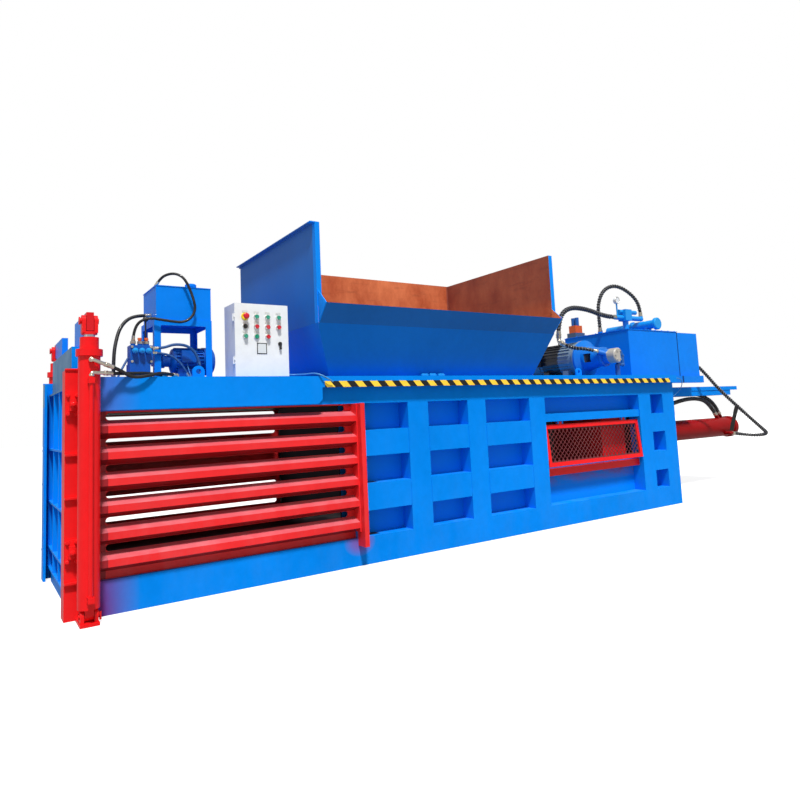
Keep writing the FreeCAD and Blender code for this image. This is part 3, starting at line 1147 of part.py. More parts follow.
# ---------------------------------------------------------------- main cylinder, ram, platform, guard
def press():
    axis = ("bodyWidth / 2", "cylinderHeight")
    r, bore = "cylinderDia / 2", "cylinderBore / 2"
    rod_r = "mainRodDia / 2"
    long_ = "cylinderEnd - cylinderStart"
    to_bulkhead = "bodyLength - cylinderStart"
    barrel = turned("cylinder", "x", [
        (f"{rod_r} + runFit", "0"), (r, "0"), (r, to_bulkhead), (f"{r} + 70", to_bulkhead),
        (f"{r} + 70", f"{to_bulkhead} + 45"), (r, f"{to_bulkhead} + 45"), (r, f"{long_} - 130"),
        (f"{r} + 18", f"{long_} - 120"), (f"{r} + 18", f"{long_} - 40"), (f"{r} - 30", long_),
        ("0", long_),
        ("0", f"{long_} - 60"), (bore, f"{long_} - 60"), (bore, "140"), (f"{rod_r} + runFit", "140")],
        "cylinderStart", axis)
    side = (f"{axis[0]} - {r} - 44", "cylinderHeight - 97")
    elbow_x = "cylinderEnd - 366"
    ports = [
        limb("lower_port", 66, 60, ("cylinderEnd - 411", f"{axis[0]} - 35", f"{axis[1]} + {r} - 2"),
             (-0.63, 0, 0.777)),
        limb("upper_port", 66, 50, ("cylinderEnd - 201", f"{axis[0]} + 35", f"{axis[1]} + {r} - 2"),
             (-0.5, 0, 0.866)),
        rod("side_port", "y", 50, (side[0], f"{axis[0]} - {bore} + 18"), (elbow_x, side[1])),
        ball("side_elbow", 56, elbow_x, side[0], side[1]),
        rod("side_outlet", "x", 46, (elbow_x, f"{elbow_x} + 60"), side)]
    node(fuse("cylinder_solid", [barrel] + ports), "main_cylinder")
    rod_start = "ramTail + ramTailLong"
    rod_long = f"cylinderEnd - 80 - ({rod_start})"
    node(turned("press_rod", "x", [
        ("0", "0"), (f"{rod_r} + 40", "0"), (f"{rod_r} + 40", "40"), (rod_r, "40"),
        (rod_r, f"{rod_long} - 160"),
        (f"{bore} - slideGap", f"{rod_long} - 160"), (f"{bore} - slideGap", rod_long), ("0", rod_long)],
        rod_start, axis), "main_rod")

    width = ("sideDepth + linerThick + ramGap", "bodyWidth - sideDepth - linerThick - ramGap")
    height = ("beamTop + slideGap", "windowTop + 3 - ramGap")
    end = "ramTail + ramTailLong"
    parts = [box("ram_head", ("ramStart", "ramStart + ramHead"), width, height),
             box("ram_tail", ("ramTail", end), width, height)]
    link = ("ramStart + ramHead", "ramTail")
    for i, y in enumerate((f"{width[0]} + 260", f"{width[1]} - 360")):
        for j, z in enumerate((height[0], f"{height[1]} - 160")):
            parts.append(box(f"ram_link_{i}{j}", link, (y, f"{y} + 100"), (z, f"{z} + 160")))
    node(fuse("ram", parts), "press_ram")

    edge = (f"{MIDDLE} - platformWide / 2", f"{MIDDLE} + platformWide / 2")
    under = "platformTop - platformHigh"
    deck = prism("platform_deck", "yz", [
        (edge[0], under), (f"{edge[0]} + 10", under), (f"{edge[0]} + 10", "platformTop - 10"),
        (f"{edge[1]} - 10", "platformTop - 10"), (f"{edge[1]} - 10", under), (edge[1], under),
        (edge[1], "platformTop"), (edge[0], "platformTop")], ("bodyLength", "platformEnd"))
    rails = [box(f"platform_rail_{i}", ("bodyLength", "platformEnd - railShort"), (y, f"({y}) + 60"),
                 (f"{under} - railHigh", f"{under} + 5"))
             for i, y in enumerate((f"{edge[0]} + 8", f"{edge[1]} - 68"))]
    ties = [box(f"platform_tie_{i}",
                (f"platformEnd - railShort - {x}", f"platformEnd - railShort - {x} + 60"),
                (f"{edge[0]} + 60", f"{edge[1]} - 60"), (f"{under} - railHigh", under))
            for i, x in enumerate((60, 2420))]
    node(fuse("platform", [deck] + rails + ties), "rear_platform")


def leaned(name, source):
    """A Part::Feature that holds the source leaned about the hinge axis."""
    thing = doc.addObject("Part::Feature", name)
    doc.recompute()
    middle = V(0, size("guardIn - bodyWidth / 2"), size("guardTop"))
    shape = source.Shape.copy()
    shape.rotate(middle, V(1, 0, 0), -size("guardLean"))
    thing.Shape = shape
    return thing


GUARD_GAP = 8
GUARD_X = (f"({GUARD[0]}) + {GUARD_GAP}", f"({GUARD[1]}) - {GUARD_GAP}")


def mesh_guard():
    top, bottom = "guardTop - 22", "guardTop - guardHigh"
    depth = ("guardIn - guardThick / 2", "guardIn + guardThick / 2")
    inner_x = (f"{GUARD_X[0]} + guardBar", f"{GUARD_X[1]} - guardBar")
    inner_z = (f"{bottom} + guardBar", f"{top} - guardBar")
    ring = cut("guard_ring", box("guard_plate", GUARD_X, depth, (bottom, top)), [
        box("guard_opening", inner_x, ("guardIn - guardThick", "guardIn + guardThick"), inner_z)])
    parts = [ring]
    for i, spot in enumerate(HINGE_SPOTS):
        parts.append(box(f"guard_tab_{i}", (f"{spot} - 22", f"{spot} + 22"),
                         ("guardIn - 9", "guardIn + 9"),
                         (f"{top} - 4", "guardTop")))
        parts.append(rod(f"guard_knuckle_{i}", "x", 24, (f"{spot} - 22", f"{spot} + 22"),
                         ("guardIn", "guardTop")))
        parts.append(rod(f"guard_pin_{i}", "x", "guardPin", (f"{spot} - 46", f"{spot} + 46"),
                         ("guardIn", "guardTop")))
    node(leaned("guard_lean", fuse("guard_solid", parts)), "guard_frame")

    node(box("guard_stop", GUARD, ("60", "110"), (f"{bottom} - 100", f"{bottom} - 22")), "guard_rest")
    node(expanded_mesh(inner_x, inner_z), "guard_mesh")


def expanded_mesh(x, z):
    """One sheet with staggered rows of diamond holes, leaned like its frame."""
    low_x, high_x = size(f"{x[0]} - bodyLength / 2 + slideGap"), size(f"{x[1]} - bodyLength / 2 - slideGap")
    low_z, high_z = size(f"{z[0]} + slideGap"), size(f"{z[1]} - slideGap")
    depth = size("guardIn - bodyWidth / 2")
    columns_ = int((high_x - low_x) // size("meshPitch"))
    rows = int((high_z - low_z) // size("meshRise"))
    pitch, rise = (high_x - low_x) / columns_, (high_z - low_z) / rows
    spread = pitch * rise / math.hypot(pitch, rise)
    shrink = 1 - size("meshStrand") / spread
    half_w, half_h = pitch / 2 * shrink, rise / 2 * shrink

    def outline(points):
        corners = [V(px, depth, pz) for px, pz in points]
        return Part.makePolygon(corners + corners[:1])

    holes = []
    for column in range(columns_ * 2 - 1):
        for line in range(rows - column % 2):
            cx = low_x + (column + 1) * pitch / 2
            cz = low_z + (line + 0.5 + 0.5 * (column % 2)) * rise
            holes.append(outline([(cx - half_w, cz), (cx, cz - half_h), (cx + half_w, cz),
                                  (cx, cz + half_h)]))
    border = outline([(low_x, low_z), (high_x, low_z), (high_x, high_z), (low_x, high_z)])
    print("expanded mesh holes:", len(holes))
    solid = Part.makeFace([border] + holes, "Part::FaceMakerBullseye").extrude(V(0, size("meshThick"), 0))
    solid.rotate(V(0, depth, size("guardTop")), V(1, 0, 0), -size("guardLean"))
    thing = doc.addObject("Part::Feature", "mesh_sheet")
    thing.Shape = solid
    return thing


# ---------------------------------------------------------------- hoses and cables
BACK = ("bodyLength", MIDDLE, "0")


def all_hoses():
    hoses("gate_hoses", [
        hose("gate tank hose", 21, [
            (655, 240, 2379), (684, 220, 2437), (734, 186, 2472), (795, 143, 2472), (850, 104, 2425),
            (905, 98, 2290), (930, 98, 2165), (846, 98, 2072), (700, 98, 2085), (560, 110, 2106),
            (475, 148, 2040), (468.5, 150, 1926.2)]),
        hose("gate return hose", 26, [
            (636, 300, 2150), (510, 297, 2152), (400, 250, 2060), (350, 200, 1900), (335, 170, 1760),
            (335, 170, 1640.3)]),
        hose("gate drain pipe", 16, [(432.5, 150, 1794), (395, 125, 1735), (352, 100, 1645)]),
        hose("upper valve hose", 22, [
            (600.3, 112, 1870), (672, 112, 1870), (765, 108, 1908), (885, 106, 1890), (955, 105, 1780),
            (965, 105, 1651)]),
        hose("lower valve hose", 18, [
            (600.3, 120, 1835), (665, 120, 1835), (750, 112, 1812), (825, 107, 1740), (870, 106, 1650)]),
        elbow(26, (130, -216.5, 1745), (130, -241, 1744.5), (236, -182, 1712)),
        hose("upper lift hose", 25, [
            (236.4, -181.8, 1711.9), (317, -138, 1687), (408, -122, 1628), (520, -102, 1644),
            (620, -52, 1668), (700, 18, 1664), (770, 55, 1656)]),
        elbow(26, (130, -228, 1632), (131, -231, 1656), (232, -168, 1657)),
        hose("lower lift hose", 25, [
            (232.5, -167.7, 1657), (300.2, -125.5, 1657.7), (400, -82, 1662), (505, -35, 1668),
            (600, 15, 1664), (690, 62, 1656)])])
    axis = ("motorAlong", "motorNear - bellLong - pumpLong + 80", "deckTop + motorHeight")
    way = V(*PORT_WAY).normalize()
    start = placed((0, 0, 0), axis) - placed((0, 0, 0), BACK)
    tip = start + way * (PORT_OUT + 1)
    hoses("main_hoses", [
        hose("pump hose", 40, [
            tuple(tip), tuple(tip + way * 160), (-1295, -325, 2025), (-1295, -175, 2100)], BACK),
        elbow(56, (-1295, -174.7, 2100.2), (-1295, -105, 2135), (-1285, -105, 2211.2), BACK),
        hose("left arch hose", 50, [
            (-100.2, -105, 2515), (-330, -105, 2515), (-710, -105, 2600), (-1070, -105, 2600),
            (-1260, -105, 2440), (-1285, -105, 2212)], BACK),
        hose("tall arch hose", 44, [
            (-180, 105, 2330.9), (-186, 105, 2500), (-205, 95, 2700), (-130, 70, 2900), (30, 45, 3000),
            (205, 5, 2995), (385, -55, 2880), (480, -105, 2715), (480, -105, 2552.2)], BACK)])
    hoses("rear_hoses", [
        hose("lower cylinder hose", 50, [
            (60.5, -125, 1180), (400, -125, 1180), (900, -75, 1225), (1390, -55, 1320), (1840, -40, 1340),
            (2160, -35, 1260), (2322, -35, 1060)], BACK),
        hose("upper cylinder hose", 50, [
            (60.5, 125, 1240), (400, 125, 1240), (900, 95, 1370), (1390, 70, 1440), (1890, 50, 1425),
            (2270, 37, 1330), (2480, 35, 1180), (2547, 35, 1064)], BACK),
        hose("long hose", 39, [
            (1414.3, -320, 1840), (1550, -345, 1740), (1770, -435, 1460), (2070, -530, 1190),
            (2340, -610, 960), (2500, -642, 840), (2680, -635, 755), (2798, -499, 718), (2790, -319, 712),
            (2661, -194, 740), (2474, -194, 765)], BACK),
        strap(60, 5, (2025, -557, 1205), (2380, -240, 810), BACK)])
    hoses("cables", [
        hose("cabinet conduit", 14, [
            (1694.3, 150, 1668), (1775, 150, 1668), (1840, 65, 1664), (1880, -55, 1668),
            (1945, -112, 1632),
            (2025, -95, 1590)]),
        hose("terminal cable", 8, [(880, 188, 1769.2), (884, 176, 1710), (905, 150, 1642)]),
        hose("deck cable", 12, [
            (-1500, -125, 1646.3), (-1440, -265, 1646.3), (-1360, -385, 1646.3), (-1210, -495, 1646.3),
            (-1070, -575, 1646.3)], BACK),
        hose("rear cable", 10, [
            (0.5, -64, 1600), (100, -60, 1596), (200, -20, 1530), (250, 60, 1440), (220, 150, 1360),
            (120, 210, 1330), (0.3, 215, 1330)], ("bodyLength", "0", "0"))])


# ---------------------------------------------------------------- build
side_frames()
chamber_liners()
bed_frame()
top_deck()
chamber_sides()
columns()
gate_guides()
gate_panel()
lift_parts()
hopper()
cabinet()
controls()
gate_unit()
main_unit()
oil_tank()
press()
mesh_guard()
all_hoses()

doc.recompute()
for thing in doc.Objects:
    if "Invalid" in thing.State or "Error" in thing.State:
        raise RuntimeError(f"{thing.Label} did not build: {thing.State}")
os.makedirs("parts", exist_ok=True)
for thing in NODES:
    if thing.Shape.isNull() or not thing.Shape.isValid() or not thing.Shape.Solids:
        raise RuntimeError(f"{thing.Label} is not a valid solid")
for thing in NODES:
    thing.Shape.exportStep(f"parts/{thing.Label}.step")
print(len(NODES), "nodes")
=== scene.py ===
import json
import math

import bmesh
import bpy
from mathutils import Matrix, Vector

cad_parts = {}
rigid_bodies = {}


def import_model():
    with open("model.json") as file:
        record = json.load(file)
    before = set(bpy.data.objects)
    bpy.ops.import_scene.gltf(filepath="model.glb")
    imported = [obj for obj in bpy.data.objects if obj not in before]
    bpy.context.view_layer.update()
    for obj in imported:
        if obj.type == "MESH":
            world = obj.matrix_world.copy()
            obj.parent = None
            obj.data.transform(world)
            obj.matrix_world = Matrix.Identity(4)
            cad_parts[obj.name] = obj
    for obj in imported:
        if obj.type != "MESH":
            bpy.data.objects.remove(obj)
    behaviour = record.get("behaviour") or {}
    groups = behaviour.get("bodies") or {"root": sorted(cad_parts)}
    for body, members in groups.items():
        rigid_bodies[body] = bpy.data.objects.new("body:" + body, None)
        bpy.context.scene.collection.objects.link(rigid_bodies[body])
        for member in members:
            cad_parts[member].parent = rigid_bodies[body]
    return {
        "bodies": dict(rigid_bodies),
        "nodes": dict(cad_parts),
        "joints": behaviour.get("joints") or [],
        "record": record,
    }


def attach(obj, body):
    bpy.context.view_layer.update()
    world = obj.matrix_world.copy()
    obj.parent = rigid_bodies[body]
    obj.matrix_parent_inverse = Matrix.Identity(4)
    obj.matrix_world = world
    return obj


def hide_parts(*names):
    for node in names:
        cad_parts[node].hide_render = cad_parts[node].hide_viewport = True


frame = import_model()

bpy.ops.object.select_all(action="DESELECT")
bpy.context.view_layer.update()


# Sizes are written from the bale outlet, the operator's face and the floor, in millimetres.
datum = {"X": 3530, "Y": 825, "Z": 0}        # the scene's own origin, counted that way


def spot(x, y, z):
    return Vector(((x - datum["X"]) / 1000, (y - datum["Y"]) / 1000, (z - datum["Z"]) / 1000))


def mm(length):
    return length / 1000


def tint(red, green, blue):            # a colour as a picture shows it, turned to linear light
    def light(part):
        part = part / 255
        return part / 12.92 if part < 0.04045 else ((part + 0.055) / 1.055) ** 2.4
    return (light(red), light(green), light(blue), 1.0)


def shade(color, factor, lift=0.0):
    return tuple(min(1, part * factor + lift) for part in color[:3]) + (1.0,)


def link(piece):
    bpy.context.scene.collection.objects.link(piece)
    return piece


def mode(name):
    bpy.ops.object.mode_set(mode=name)


# ---- camera, floor and light
view = {
    "place": (-4.072, -5.747, 1.271),
    "yaw": 34.12, "pitch": 5.74, "roll": -2.63,
    "lens": 28.674, "sensor": 36, "shiftUp": -0.06, "reach": 400,
}
stage = {
    "floor": 120.0, "floorTone": 0.36, "seenGlow": 0.80,
    "sky": 0.46, "key": 4.2, "keySpread": 7.0, "keyFrom": (-0.17, -0.53, 1.0),
    "fill": 0.12, "fillSpread": 40.0, "fillFrom": (-1.0, -0.30, 0.35), "lampColor": (1.0, 0.98, 0.95),
}


def placeCamera():
    yaw, pitch, roll = (math.radians(view[turn]) for turn in ("yaw", "pitch", "roll"))
    ahead = Vector((math.sin(yaw) * math.cos(pitch), math.cos(yaw) * math.cos(pitch), math.sin(pitch)))
    level = Vector((math.cos(yaw), -math.sin(yaw), 0))
    upright = level.cross(ahead)
    right = math.cos(roll) * level + math.sin(roll) * upright
    up = math.cos(roll) * upright - math.sin(roll) * level
    turned = Matrix((right, up, -ahead)).transposed()
    camera = link(bpy.data.objects.new("camera", bpy.data.cameras.new("camera")))
    camera.matrix_world = Matrix.Translation(view["place"]) @ turned.to_4x4()
    camera.data.lens = view["lens"]
    camera.data.sensor_width = view["sensor"]
    camera.data.shift_y = view["shiftUp"]
    camera.data.clip_end = view["reach"]
    bpy.context.scene.camera = camera


def addSun(name, strength, spread, source):
    lamp = bpy.data.lights.new(name, "SUN")
    lamp.energy = strength
    lamp.angle = math.radians(spread)
    lamp.color = stage["lampColor"]
    sun = link(bpy.data.objects.new(name, lamp))
    sun.rotation_mode = "QUATERNION"
    sun.rotation_quaternion = Vector(source).to_track_quat("Z", "Y")


# ---- shader sums
def operator(operation, swapped=False):      # an operator between wires, as a node
    def method(self, other):
        return self.sum(operation, other, self) if swapped else self.sum(operation, self, other)
    return method


class Wire:
    def __init__(self, recipe, socket):
        self.recipe = recipe
        self.socket = socket

    def sum(self, operation, first, second, clamp=False):
        settings = {"operation": operation, "use_clamp": clamp}
        return self.recipe.add("ShaderNodeMath", settings, {0: first, 1: second})

    def clamp(self):
        return self.sum("ADD", self, 0.0, True)

    __add__ = __radd__ = operator("ADD")
    __mul__ = __rmul__ = operator("MULTIPLY")
    __sub__ = operator("SUBTRACT")
    __rsub__ = operator("SUBTRACT", swapped=True)
    __truediv__ = operator("DIVIDE")
    __gt__ = operator("GREATER_THAN")
    __lt__ = operator("LESS_THAN")


class Recipe:
    def __init__(self, name):
        self.material = bpy.data.materials.new(name)
        self.material.use_nodes = True
        self.tree = self.material.node_tree
        self.shader = self.tree.nodes["Principled BSDF"]
        self.place = self.add("ShaderNodeTexCoord", {}, {}, "Object")

    def add(self, kind, settings, inputs, output=0):
        node = self.tree.nodes.new(kind)
        for key, setting in settings.items():
            setattr(node, key, setting)
        for key, given in inputs.items():
            self.feed(node.inputs[key], given)
        return Wire(self, node.outputs[output])

    def feed(self, socket, given):
        if isinstance(given, Wire):
            self.tree.links.new(given.socket, socket)
        else:
            socket.default_value = given

    def noise(self, scale, detail=4.0, rough=0.55, stretch=(1, 1, 1), shift=(0, 0, 0)):
        spread = self.add("ShaderNodeMapping", {}, {"Vector": self.place, "Scale": stretch, "Location": shift})
        return self.add("ShaderNodeTexNoise", {}, {
            "Vector": spread, "Scale": scale, "Detail": detail, "Roughness": rough})

    def ramp(self, wire, low, high):          # 0 below low, 1 above high
        return self.add("ShaderNodeMapRange", {}, {"Value": wire, "From Min": low, "From Max": high})

    def mix(self, share, first, second):
        return self.add("ShaderNodeMix", {"data_type": "RGBA"}, {0: share, 6: first, 7: second}, 2)

    def axes(self, source=None):             # X, Y and Z of the place, or of another vector
        node = self.add("ShaderNodeSeparateXYZ", {}, {0: source or self.place}).socket.node
        return [Wire(self, socket) for socket in node.outputs]

    def facing(self):                        # X, Y and Z of the way the surface looks
        return self.axes(self.add("ShaderNodeNewGeometry", {}, {}, "Normal"))

    def bump(self, height, strength, distance, under=None):
        settings = {"Height": height, "Strength": strength, "Distance": distance}
        if under:
            settings["Normal"] = under
        return self.add("ShaderNodeBump", {}, settings)

    def set(self, **values):
        for key, given in values.items():
            self.feed(self.shader.inputs[key.replace("_", " ")], given)
        return self.material

    def inside(self, space):                 # 1 within a box given per axis, counted as in spot
        share = 1.0
        places = dict(zip("XYZ", self.axes()))
        for name, (low, high) in space.items():
            place = places[name]
            share = (place > mm(low - datum[name])) * (place < mm(high - datum[name])) * share
        return share


# ---- paints, metals, plastics and rubber
enamel = {                                   # how every painted piece ages; scales are noises per metre
    "darker": 0.86, "lighter": 1.08, "cloudScale": 0.9, "fineScale": 14,
    "dirtScale": 5, "dirtStart": 0.42, "dirtOnTops": 1.6, "dirtLow": 0.6, "dirtAround": 0.2,
    "lowBand": (0.05, 0.75),
    "runScale": 9, "runTone": tint(40, 44, 60),
    "flakeScale": 38, "flakeEdge": (0.69, 0.71), "patchScale": 2.3,
    "peelScale": 150, "rolledScale": 3.0, "coatRough": 0.12,
}


def paint(name, color, worn, rough=0.3, coat=0.05, dust=0.05, chips=0.4, streaks=0.08, shine=0.16,
          grime=tint(150, 150, 150), zones=(), over=None):
    recipe = Recipe(name)
    cloud = recipe.noise(enamel["cloudScale"], 5)
    fine = recipe.noise(enamel["fineScale"], 6, 0.65)
    tone = recipe.mix(recipe.ramp(cloud * 0.7 + fine * 0.3, 0.34, 0.68), shade(color, enamel["darker"]),
                      shade(color, enamel["lighter"], 0.002))
    for space, zoneColor in zones:
        tone = recipe.mix(recipe.inside(space), tone, zoneColor)
    if over:
        tone = over(recipe, tone)
    facingUp = recipe.ramp(recipe.facing()[2], 0.35, 0.95)
    low = 1 - recipe.ramp(recipe.axes()[2], *enamel["lowBand"])
    dirt = recipe.noise(enamel["dirtScale"], 8, 0.7, (1, 1, 0.35))
    lying = facingUp * enamel["dirtOnTops"] + low * enamel["dirtLow"] + enamel["dirtAround"]
    film = (recipe.ramp(dirt, enamel["dirtStart"], 0.75) * lying * dust).clamp()
    tone = recipe.mix(film, tone, grime)
    run = recipe.noise(enamel["runScale"], 5, 0.6, (3.2, 3.2, 0.12))
    stain = (recipe.ramp(run, 0.62, 0.78) * recipe.ramp(dirt, 0.5, 0.66) * streaks).clamp()
    tone = recipe.mix(stain, tone, enamel["runTone"])
    flake = recipe.noise(enamel["flakeScale"], 9, 0.72, (1, 1, 1), (3.1, 1.7, 0.4))
    patch = recipe.noise(enamel["patchScale"], 3, 0.5, (1, 1, 1), (8.0, 2.0, 5.0))
    chip = recipe.ramp(flake, *enamel["flakeEdge"]) * recipe.ramp(patch, 0.50, 0.66) * chips
    tone = recipe.mix(chip.clamp(), tone, worn)
    peel = recipe.noise(enamel["peelScale"], 2, 0.4)
    rolled = recipe.noise(enamel["rolledScale"], 2, 0.4)
    under = recipe.bump(rolled, 0.25, 0.012)
    under = recipe.bump(peel, 0.10, 0.002, under)
    under = recipe.bump(1 - chip, 0.5, 0.0008, under)
    gloss = rough + fine * 0.14 + film * 0.5 + chip * 0.3 + stain * 0.2
    return recipe.set(Base_Color=tone, Roughness=gloss.clamp(), Normal=under, Coat_Weight=coat,
                      Coat_Roughness=enamel["coatRough"], Specular_IOR_Level=shine)


def metal(name, color, rough, stain):
    recipe = Recipe(name)
    cloud = recipe.noise(7, 6, 0.6)
    brushed = recipe.noise(60, 3, 0.5)
    tone = recipe.mix(recipe.ramp(cloud, 0.35, 0.72), color, shade(color, 0.62))
    rust = recipe.ramp(recipe.noise(24, 8, 0.7), 0.60, 0.74) * stain
    tone = recipe.mix(rust.clamp(), tone, tint(120, 74, 46))
    normal = recipe.bump(brushed, 0.12, 0.0006)
    return recipe.set(Base_Color=tone, Roughness=(rough + brushed * 0.18 + rust * 0.4).clamp(),
                      Metallic=(1 - rust).clamp(), Normal=normal)


def plastic(name, color, rough):
    recipe = Recipe(name)
    cloud = recipe.noise(18, 5, 0.6)
    tone = recipe.mix(recipe.ramp(cloud, 0.45, 0.8) * 0.5, color, shade(color, 1, 0.10))
    normal = recipe.bump(recipe.noise(900, 2, 0.5), 0.12, 0.0003)
    return recipe.set(Base_Color=tone, Roughness=(rough + cloud * 0.2).clamp(), Normal=normal)


def rubber(name, color, sheen):
    recipe = Recipe(name)
    # pale patches in the sheen colour: scuffs together with a painted sheen
    scuffAndSheen = recipe.noise(26, 8, 0.7)
    long = recipe.noise(4, 3, 0.5)
    tone = recipe.mix((recipe.ramp(scuffAndSheen, 0.5, 0.78) * recipe.ramp(long, 0.35, 0.7)).clamp(), color, sheen)
    normal = recipe.bump(recipe.noise(420, 3, 0.6), 0.25, 0.0006)
    return recipe.set(Base_Color=tone, Roughness=(0.38 + scuffAndSheen * 0.3).clamp(), Normal=normal, Coat_Weight=0.12)


def stripes(name, pitch):                    # slanted black and yellow bands along the tape
    recipe = Recipe(name)
    x, y, z = recipe.axes()
    slant = (x + z * 0.9) / mm(pitch)
    wave = recipe.add("ShaderNodeMath", {"operation": "FRACT"}, {0: slant})
    band = recipe.ramp(wave, 0.485, 0.50) * (1 - recipe.ramp(wave, 0.985, 1.0))
    wear = recipe.noise(45, 8, 0.7)
    yellow = recipe.mix(recipe.ramp(recipe.noise(6, 4), 0.4, 0.7), tint(255, 216, 62), tint(250, 200, 48))
    black = recipe.mix(recipe.ramp(wear, 0.45, 0.8), tint(8, 8, 10), tint(24, 24, 24))
    tone = recipe.mix(band.clamp(), yellow, black)
    tone = recipe.mix((recipe.ramp(wear, 0.72, 0.76) * 0.4).clamp(), tone, tint(190, 180, 160))
    normal = recipe.bump(recipe.noise(30, 3, 0.5), 0.2, 0.001)
    return recipe.set(Base_Color=tone, Roughness=(0.42 + wear * 0.2).clamp(), Normal=normal)


# Where one node changes its look, in metres from the scene's origin.
# The last two are heights, in metres, of a painted sky sheen on the outer walls and of painted shade inside the
# right wall.
hopperSides = {"middle": -0.21, "rear": 0.5, "rim": -0.90, "right": 1.20,
               "skySheen": (2.3, 2.95), "innerShade": (2.22, 2.50)}
chamber = {"slotHalf": 0.765, "slotEnd": -1.0, "linerHalf": 0.66, "linerEnd": 1.12, "floor": 0.20, "roof": 1.50}
mist = {"from": -3.29, "to": -3.05, "face": -0.80, "post": -3.40, "low": 0.40,
        "foot": (-1.245, 0.20), "footReach": (0.16, 0.12)}
smeared = {"start": 1.1, "rise": (0.40, 0.50), "top": 0.60}
stopDisc = {"middle": (-2.215, 2.142), "radius": 0.0298, "face": -0.7635}
headFoot, ramTail = 1.49, 2.26
# near-black inside the bale chamber: greasy steel together with painted shade
greaseAndShadeTone = tint(20, 18, 22)


def primer(recipe):                          # red oxide primer, scuffed by what was tipped in
    scuffed = recipe.noise(2.2, 7, 0.68, (1, 1, 0.6))
    brush = recipe.noise(7, 6, 0.6, (0.4, 0.4, 2.2))
    rust = recipe.mix(recipe.ramp(scuffed, 0.36, 0.66), tint(178, 84, 52), tint(226, 130, 86))
    return recipe.mix(recipe.ramp(brush, 0.56, 0.80) * 0.5, rust, tint(112, 54, 44))


def wallSides(recipe, tone):                 # primer inside, with painted shade high on the right wall; outside, a painted sky sheen higher up and a painted sunlit highlight on the front edges
    x, y, z = recipe.axes()
    facingX, facingY = recipe.facing()[:2]
    inward = (hopperSides["middle"] - x) * facingX > 0.5
    forward = (facingY < -0.6) * (y > hopperSides["rear"])
    # painted sky sheen: the outer walls turn paler grey-blue towards the top
    outer = recipe.mix(recipe.ramp(z, *hopperSides["skySheen"]) * 0.35, tone, tint(96, 132, 172))
    # painted sunlit highlight: brighter blue on the edge faces that look to the front
    rim = (facingY < -0.6) * (y < hopperSides["rim"])
    outer = recipe.mix(rim, outer, tint(2, 138, 242))
    flange = (y < hopperSides["rim"]) * (x < hopperSides["middle"])
    outer = recipe.mix(flange, outer, tint(2, 132, 236))
    # painted shade: darker primer high up on the right wall's inner face
    innerShade = recipe.ramp(z, *hopperSides["innerShade"]) * (x > hopperSides["right"]) * 0.5
    inner = recipe.mix(innerShade, primer(recipe), tint(92, 60, 70))
    return recipe.mix((inward + forward).clamp() * (1 - flange), outer, inner)


def funnelSides(recipe, tone):               # primer on the faces that look up
    return recipe.mix(recipe.facing()[2] > 0.15, tone, primer(recipe))


def chamberGreaseAndShade(recipe, tone):              # greasy dark steel inside the bale chamber, painted near-black as the chamber's shade
    x, y, z = recipe.axes()
    across = y * y
    slotted = (across < chamber["slotHalf"] ** 2) * (x < chamber["slotEnd"])
    lined = (across < chamber["linerHalf"] ** 2) * (x < chamber["linerEnd"])
    space = (slotted + lined).clamp() * (z > chamber["floor"]) * (z < chamber["roof"])
    return recipe.mix(space, tone, greaseAndShadeTone)


def redMist(recipe, tone):                   # red spray that drifted past the red parts onto the blue
    # the chamber's inside first takes the near-black of greasy steel and painted shade
    tone = chamberGreaseAndShade(recipe, tone)
    x, y, z = recipe.axes()
    near = 1 - recipe.ramp(x, mist["from"], mist["to"])
    drift = recipe.noise(3.4, 6, 0.6)
    side = (y < mist["face"]) * (x > mist["post"])
    share = near * (0.45 + drift * 0.5) * ((z < mist["low"]) * 0.75 + 0.5) * side
    across, down = ((place - foot) / reach for place, foot, reach in zip((x, z), mist["foot"], mist["footReach"]))
    smudge = (1 - recipe.ramp(across * across + down * down, 0.1, 1.0)) * (0.35 + drift * 0.4) * side
    tone = recipe.mix(smudge.clamp(), tone, tint(150, 50, 120))
    return recipe.mix(share.clamp(), tone, tint(112, 40, 124))


def headShadeAndSheen(recipe, tone):                  # painted shade and a painted sky sheen: grey-blue on the outlet-facing side of the gate's head
    facing = (recipe.facing()[0] < -0.5) * (recipe.axes()[2] > headFoot)
    cloud = recipe.noise(2.6, 5, 0.6)
    grey = recipe.mix(recipe.ramp(cloud, 0.3, 0.7), tint(64, 112, 158), tint(112, 150, 182))
    return recipe.mix(facing, tone, grey)


def linerSides(recipe, tone):                # blue outside; inside, dark greasy steel painted near-black as the chamber's shade
    x, y, z = recipe.axes()
    outer = recipe.facing()[1] * y > 0.3
    drift = recipe.noise(3.0, 6, 0.65, (0.5, 1, 1.4))
    band = recipe.ramp(z, *smeared["rise"]) * (z < smeared["top"]) * (x > smeared["start"]) * (y < 0)
    smear = recipe.ramp(drift, 0.40, 0.62) * band * 0.8
    face = recipe.mix(smear, blueTone, tint(150, 50, 70))
    return recipe.mix(outer, tone, face)


def ramSteel(recipe, tone):                  # bare greasy steel in front of the painted tail
    oil = recipe.noise(4, 6, 0.6)
    steel = recipe.mix(recipe.ramp(oil, 0.35, 0.7), tint(14, 13, 15), tint(32, 28, 28))
    return recipe.mix(recipe.axes()[0] < ramTail, tone, steel)


def stopRing(recipe, tone):                  # yellow ring round the emergency stop
    x, y, z = recipe.axes()
    across = x - stopDisc["middle"][0]
    down = z - stopDisc["middle"][1]
    ring = (across * across + down * down < stopDisc["radius"] ** 2) * (y < stopDisc["face"])
    return recipe.mix(ring, tone, tint(236, 208, 40))


